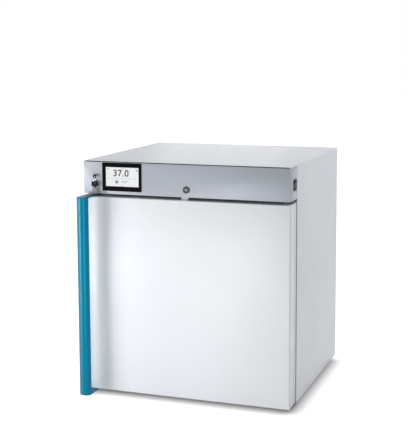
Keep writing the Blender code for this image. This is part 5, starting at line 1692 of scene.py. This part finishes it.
@dataclass
class Door:
    """The door's pan, liner, core, seal, strike, bushes and handle."""

    shop: Workshop
    screws: ScrewSet
    bow: float = 0.008
    wall: float = 0.0025
    nose: float = 0.0022
    seal_width: float = 0.012
    seal_fold: float = 0.0012
    seal_folds: int = 3
    seal_corner: float = 0.006
    least_corner: float = 0.0025

    def build(self) -> None:
        """Dresses the door and its handle."""
        self.shop.refine_all(
            Body.DOOR,
            ("door_outer_panel", DOOR_COAT, *THIN_EDGE),
            ("door_inner_liner", LINER_COAT, 0.0015, 3),
            ("door_strike", WHITE_COAT, 0.0004, 3),
        )
        self.shop.paint("door_insulation", WOOL)
        self.seal()
        for end in ("top", "bottom"):
            self.shop.refine("hinge_bush_" + end, NYLON, Body.DOOR, 0.0, 1)
            self.shop.refine("hinge_bracket_" + end, BLACK_ZINC, Body.CABINET, *PLAIN_EDGE)
        self.handle()

    def seal(self) -> None:
        """The bellows seal: a folded section carried round the door."""
        span = Span.of("door_gasket")
        shape = bmesh.new()
        loops = []
        for across, depth in self.seal_section(span.size.y):
            low = (span.low.x + across, span.low.z + across)
            high = (span.high.x - across, span.high.z - across)
            radius = max(self.seal_corner - across * 0.25, self.least_corner)
            outline = rounded(low, high, radius, 5)
            y = span.low.y + depth
            loops.append([shape.verts.new((x, y, z)) for x, z in outline])
        for first, second in zip(loops, loops[1:] + loops[:1]):
            count = len(first)
            for step in range(count):
                after = (step + 1) % count
                shape.faces.new((first[step], first[after], second[after], second[step]))
        mesh = smooth(settled(shape, bpy.data.meshes.new("door_seal")), 60)
        self.shop.fit("door_seal", mesh, SEAL, Body.DOOR, ("door_gasket",))

    def seal_section(self, deep: float) -> list[Point2]:
        """The seal's section: a rounded face and folded sides.

        Args:
            deep: Its depth.

        Returns:
            Pairs of place across the seal and depth from the door.
        """
        outer, inner = [], []
        steps = self.seal_folds * 4
        for step in range(steps + 1):
            share = step / steps
            wave = self.seal_fold * (0.5 - 0.5 * math.cos(TURN * self.seal_folds * share))
            outer.append((wave, deep * share))
            inner.append((self.seal_width - wave, deep * share))
        return outer + inner[::-1]

    def handle(self) -> None:
        """The hollow bowed grip and its two plates with their screws."""
        span = Span.of("handle_profile")
        back = span.high.y
        front = self.bowed(span)
        outer = front + self.back_corners(span, back, 0.004, 0.004, 6)
        inner = self.bow_arc(span, self.wall, 0.84, 16)
        inner += self.back_corners(span, back, 0.0045, 0.002, 4)
        grip = slab("handle_grip", [outer, inner], Axis.Z, span.low.z, span.high.z)
        self.shop.fit("handle_grip", grip, TEAL, Body.DOOR, ("handle_profile",))
        plates = {end: Span.of("handle_%s_plate" % end) for end in ("top", "bottom")}
        for end, plate in plates.items():
            node = "handle_%s_plate" % end
            outline = front + self.back_corners(span, plate.high.y, 0.002, 0.002, 4)
            mesh = slab(node + "_finished", [outline], Axis.Z, plate.low.z, plate.high.z, 0.0004)
            self.shop.fit(node + "_finished", mesh, TEAL_PLATE, Body.DOOR, (node,))
        flat = ScrewSet(self.shop, self.screws.tree, 0.0034, 0.0008)
        for end, plate in plates.items():
            level, way = (plate.high.z, UP) if end == "top" else (plate.low.z, DOWN)
            seats = [(span.middle.x, plate.high.y - inset, level) for inset in (0.012, 0.036)]
            flat.drive("handle_%s_screws" % end, seats, way, Body.DOOR)

    def bow_arc(self, span: Span, inset: float, share: float, steps: int) -> list[Point2]:
        """Points along the handle's bowed front, from left to right.

        Args:
            span: The handle's box.
            inset: Distance in from the outer face.
            share: Share of the bow's whole angle.
            steps: Number of chords.

        Returns:
            The points in order.
        """
        half = span.size.x / 2
        radius = (half**2 + self.bow**2) / (2 * self.bow)
        swing = math.degrees(math.asin(half / radius)) * share
        centre = (span.middle.x, span.low.y + radius)
        return arc(centre, radius - inset, 270 - swing, 270 + swing, steps)

    def bowed(self, span: Span) -> list[Point2]:
        """The bowed front of the handle's section, with softened corners.

        Args:
            span: The handle's box.

        Returns:
            Points from left to right.
        """
        points = self.bow_arc(span, 0.0, 0.90, 24)
        left, right, level = span.low.x, span.high.x, points[0][1]
        ease, rise, end = self.nose * 0.18, level + self.nose * 0.7, level + self.nose * 1.6
        return [(left, end), (left + ease, rise), *points, (right - ease, rise), (right, end)]

    def back_corners(
        self, span: Span, back: float, inset: float, radius: float, steps: int
    ) -> list[Point2]:
        """The two round corners at the back of a section, from right to left.

        Args:
            span: The handle's box.
            back: The level of the back.
            inset: How far in the corners' centres lie.
            radius: The corners' radius.
            steps: Chords in each corner.

        Returns:
            The points in order.
        """
        corner = arc((span.high.x - inset, back - inset), radius, 0, 90, steps)
        return corner + arc((span.low.x + inset, back - inset), radius, 90, 180, steps)


@dataclass
class Feet:
    """The four levelling feet."""

    shop: Workshop

    def build(self) -> None:
        """Dresses the pads and the threaded stems."""
        for body in Body:
            if body.value.startswith("foot_"):
                name = body.value.removeprefix("foot_")
                self.add("foot_pad_" + name, self.pad, 48, RUBBER, body)
                self.add("foot_stem_" + name, self.stem, 36, SCREW_ZINC, body)

    def add(
        self,
        node: str,
        section: Callable[[Vector], list[Point2]],
        steps: int,
        finish: Finish,
        body: Body,
    ) -> None:
        """Turns one piece about its upright axis.

        Args:
            node: The solid's name.
            section: Gives the profile from the solid's size.
            steps: Facets round the axis.
            finish: Its surface finish.
            body: The body that it rides on.
        """
        span, name = Span.of(node), node + "_finished"
        mesh = lathe(name, section(span.size), span.face(Axis.Z), UP, steps)
        self.shop.fit(name, mesh, finish, body, (node,))

    def pad(self, size: Vector) -> list[Point2]:
        """A rubber pad's profile with a rounded skirt.

        Args:
            size: The solid's edge lengths.

        Returns:
            Radius and height pairs.
        """
        radius, high = size.x / 2, size.z
        profile = [(0.0, high), (radius * 0.7, high), (radius * 0.78, high - 0.0008)]
        profile += [(radius - 0.0006, high * 0.55), (radius, high * 0.42), (radius, 0.0012)]
        return profile + [(radius - 0.0004, 0.0003), (radius - 0.0012, 0.0), (0.0, 0.0)]

    def stem(self, size: Vector) -> list[Point2]:
        """A stem's profile with its flange and thread.

        Args:
            size: The solid's edge lengths.

        Returns:
            Radius and height pairs.
        """
        flange, radius, high = size.x / 2, size.x / 4, size.z
        profile = [(0.0, high), (radius - 0.0008, high), (radius, high - 0.0008)]
        level, lowest, pitch = high - 0.0014, 0.0056, 0.00125
        while level > lowest:
            profile += [(radius, level), (radius - 0.0005, level - 0.0006)]
            level -= pitch
        profile += [(radius, 0.0034), (flange - 0.0003, 0.0034), (flange, 0.0031)]
        return profile + [(flange, 0.0), (0.0, 0.0)]


# Studio
@dataclass(frozen=True)
class StudioCamera:
    """The camera at the photograph's place, in the cabinet's own terms."""

    image_size: tuple[int, int] = (408, 438)
    focal_pixels: float = 1057.34
    yaw: float = 0.3436
    pitch: float = 0.11592
    roll: float = -0.00448
    shift: float = -0.12
    place: tuple[float, float, float] = (0.94405, -2.71991, 0.92984)
    sensor: float = 36.0
    clip_end: float = 60.0

    def build(self) -> None:
        """Adds the camera and makes it the scene's."""
        data = bpy.data.cameras.new("studio camera")
        data.sensor_width = self.sensor
        data.lens = self.focal_pixels * self.sensor / max(self.image_size)
        data.shift_y = self.shift
        data.clip_end = self.clip_end
        camera = link("studio camera", data)
        level = Vector((math.cos(self.yaw), math.sin(self.yaw), 0.0))
        flat = Vector((-math.sin(self.yaw), math.cos(self.yaw), 0.0))
        ahead = flat * math.cos(self.pitch) - Vector(UP) * math.sin(self.pitch)
        above = level.cross(ahead)
        right = math.cos(self.roll) * level + math.sin(self.roll) * above
        up = -math.sin(self.roll) * level + math.cos(self.roll) * above
        turn = Matrix((right, up, -ahead)).transposed().to_4x4()
        camera.matrix_world = Matrix.Translation(self.place) @ turn
        bpy.context.scene.camera = camera


@dataclass(frozen=True)
class SoftBox:
    """One rectangular studio lamp."""

    name: str
    place: tuple[float, float, float]
    aim: tuple[float, float, float]
    size: Point2
    power: float

    def build(self) -> None:
        """Adds the lamp, facing its aim."""
        data = bpy.data.lights.new(self.name, "AREA")
        data.shape = "RECTANGLE"
        data.size, data.size_y = self.size
        data.energy = self.power
        lamp = link(self.name, data)
        way = Vector(self.aim) - Vector(self.place)
        turn = way.to_track_quat("-Z", "Y").to_matrix().to_4x4()
        lamp.matrix_world = Matrix.Translation(self.place) @ turn


@dataclass
class Studio:
    """The pale floor, the sky and the lamps."""

    floor_colour: tuple[float, float, float] = (0.55, 0.55, 0.555)
    floor_half: float = 14.0
    # The floor's glow near the footprint and the reach over which it rises to full: painted shade
    # round the base.
    painted_shade_lift: float = 0.06
    painted_shade_reach: float = 0.085
    footprint_middle: tuple[float, float, float] = (0.0, 0.025, 0.0)
    footprint_half: tuple[float, float, float] = (0.258, 0.215, 0.0)
    sky_strength: float = 0.40
    boxes: tuple[SoftBox, ...] = field(
        default_factory=lambda: (
            SoftBox("key from the left", (-2.6, -2.1, 0.42), (0.0, -0.2, 0.3), (0.95, 0.8), 34.0),
            SoftBox("front", (0.02, -0.95, 0.28), (0.0, -0.235, 0.28), (0.42, 0.4), 1.8),
            SoftBox("front left", (-0.85, -1.0, 0.22), (-0.1, -0.235, 0.25), (0.22, 0.36), 2.3),
            SoftBox("behind the top", (-0.7, 2.1, 0.92), (0.0, 0.05, 0.628), (0.7, 0.3), 0.9),
            SoftBox("overhead", (0.1, 0.9, 2.1), (0.0, 0.2, 0.5), (1.6, 1.2), 5.0),
            SoftBox("right rear", (2.2, 1.2, 1.0), (0.28, 0.0, 0.4), (1.2, 1.2), 5.4),
            SoftBox("right above", (1.5, 0.3, 1.7), (0.28, 0.0, 0.6), (0.8, 0.8), 7.0),
        )
    )

    def build(self) -> None:
        """Adds the floor, the world and the lamps."""
        self.floor()
        self.sky()
        for lamp in self.boxes:
            lamp.build()
        bpy.context.scene.view_settings.view_transform = "Standard"

    def floor(self) -> None:
        """A wide pale floor that reads plain white away from the object, its glow dimmed near the
        footprint: painted shade round the base, over the real shadow.
        """
        shape = bmesh.new()
        bmesh.ops.create_grid(shape, x_segments=2, y_segments=2, size=self.floor_half)
        mesh = settled(shape, bpy.data.meshes.new("floor"), outward=False)
        desk = NodeDesk("pale floor")
        desk.tone(desk.noise(0.8, 2.0), "Fac", self.floor_colour, 0.995, 1.0)
        desk.set(Roughness=0.9, Specular_IOR_Level=0.1, Emission_Color=(1.0, 1.0, 1.0, 1.0))
        place = desk.coordinates()
        for operation, values in (
            ("SUBTRACT", self.footprint_middle),
            ("ABSOLUTE", NOWHERE),
            ("SUBTRACT", self.footprint_half),
            ("MAXIMUM", NOWHERE),
        ):
            step = desk.add("ShaderNodeVectorMath", operation=operation)
            step.inputs[1].default_value = values
            desk.join(place, "Vector", step, "Vector")
            place = step
        reach = desk.add("ShaderNodeVectorMath", operation="LENGTH")
        desk.join(place, "Vector", reach, "Vector")
        # The glow falls off towards the footprint: painted contact shade, on top of the real
        # shadow.
        glow_with_painted_shade = desk.add("ShaderNodeMapRange", interpolation_type="SMOOTHSTEP", From_Min=0.0)
        glow_with_painted_shade.inputs["From Max"].default_value = self.painted_shade_reach
        glow_with_painted_shade.inputs["To Min"].default_value = self.painted_shade_lift
        glow_with_painted_shade.inputs["To Max"].default_value = 1.0
        desk.join(reach, "Value", glow_with_painted_shade, "Value")
        shown = desk.add("ShaderNodeMath", operation="MULTIPLY")
        desk.join(desk.seen_directly(), 0, shown, 0)
        desk.join(glow_with_painted_shade, "Result", shown, 1)
        desk.join(shown, 0, desk.shader, "Emission Strength")
        mesh.materials.append(desk.material)
        link("floor", mesh)

    def sky(self) -> None:
        """An even white world, plain white to camera, glossy and transmission rays."""
        world = bpy.data.worlds.new("white studio")
        bpy.context.scene.world = world
        world.use_nodes = True
        sheet = NodeSheet(world.node_tree)
        back = sheet.nodes["Background"]
        back.inputs["Color"].default_value = (1.0, 1.0, 1.0, 1.0)
        blend = sheet.add("ShaderNodeMapRange", To_Min=self.sky_strength, To_Max=1.0)
        sheet.join(sheet.seen_directly(), 0, blend, "Value")
        sheet.join(blend, "Result", back, "Strength")


def main() -> None:
    """Loads the frame, dresses every sub-assembly and sets the studio."""
    logging.basicConfig(level=logging.INFO, format="%(name)s: %(message)s")
    for item in list(bpy.data.objects):
        bpy.data.objects.remove(item, do_unlink=True)
    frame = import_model()
    shop = Workshop(frame["nodes"])
    screws = ScrewSet(shop, scatter_tree())
    StudioCamera().build()
    Studio().build()
    for assembly in (
        Housing(shop, screws),
        Chamber(shop, screws, wire_row_tree(), blade_ring_tree()),
        RearFittings(shop, screws),
        Electronics(shop),
        ControlPanel(shop),
        Door(shop, screws),
        Feet(shop),
    ):
        assembly.build()
    LOG.info("%d pieces made", shop.count)


if __name__ == "__main__":
    main()
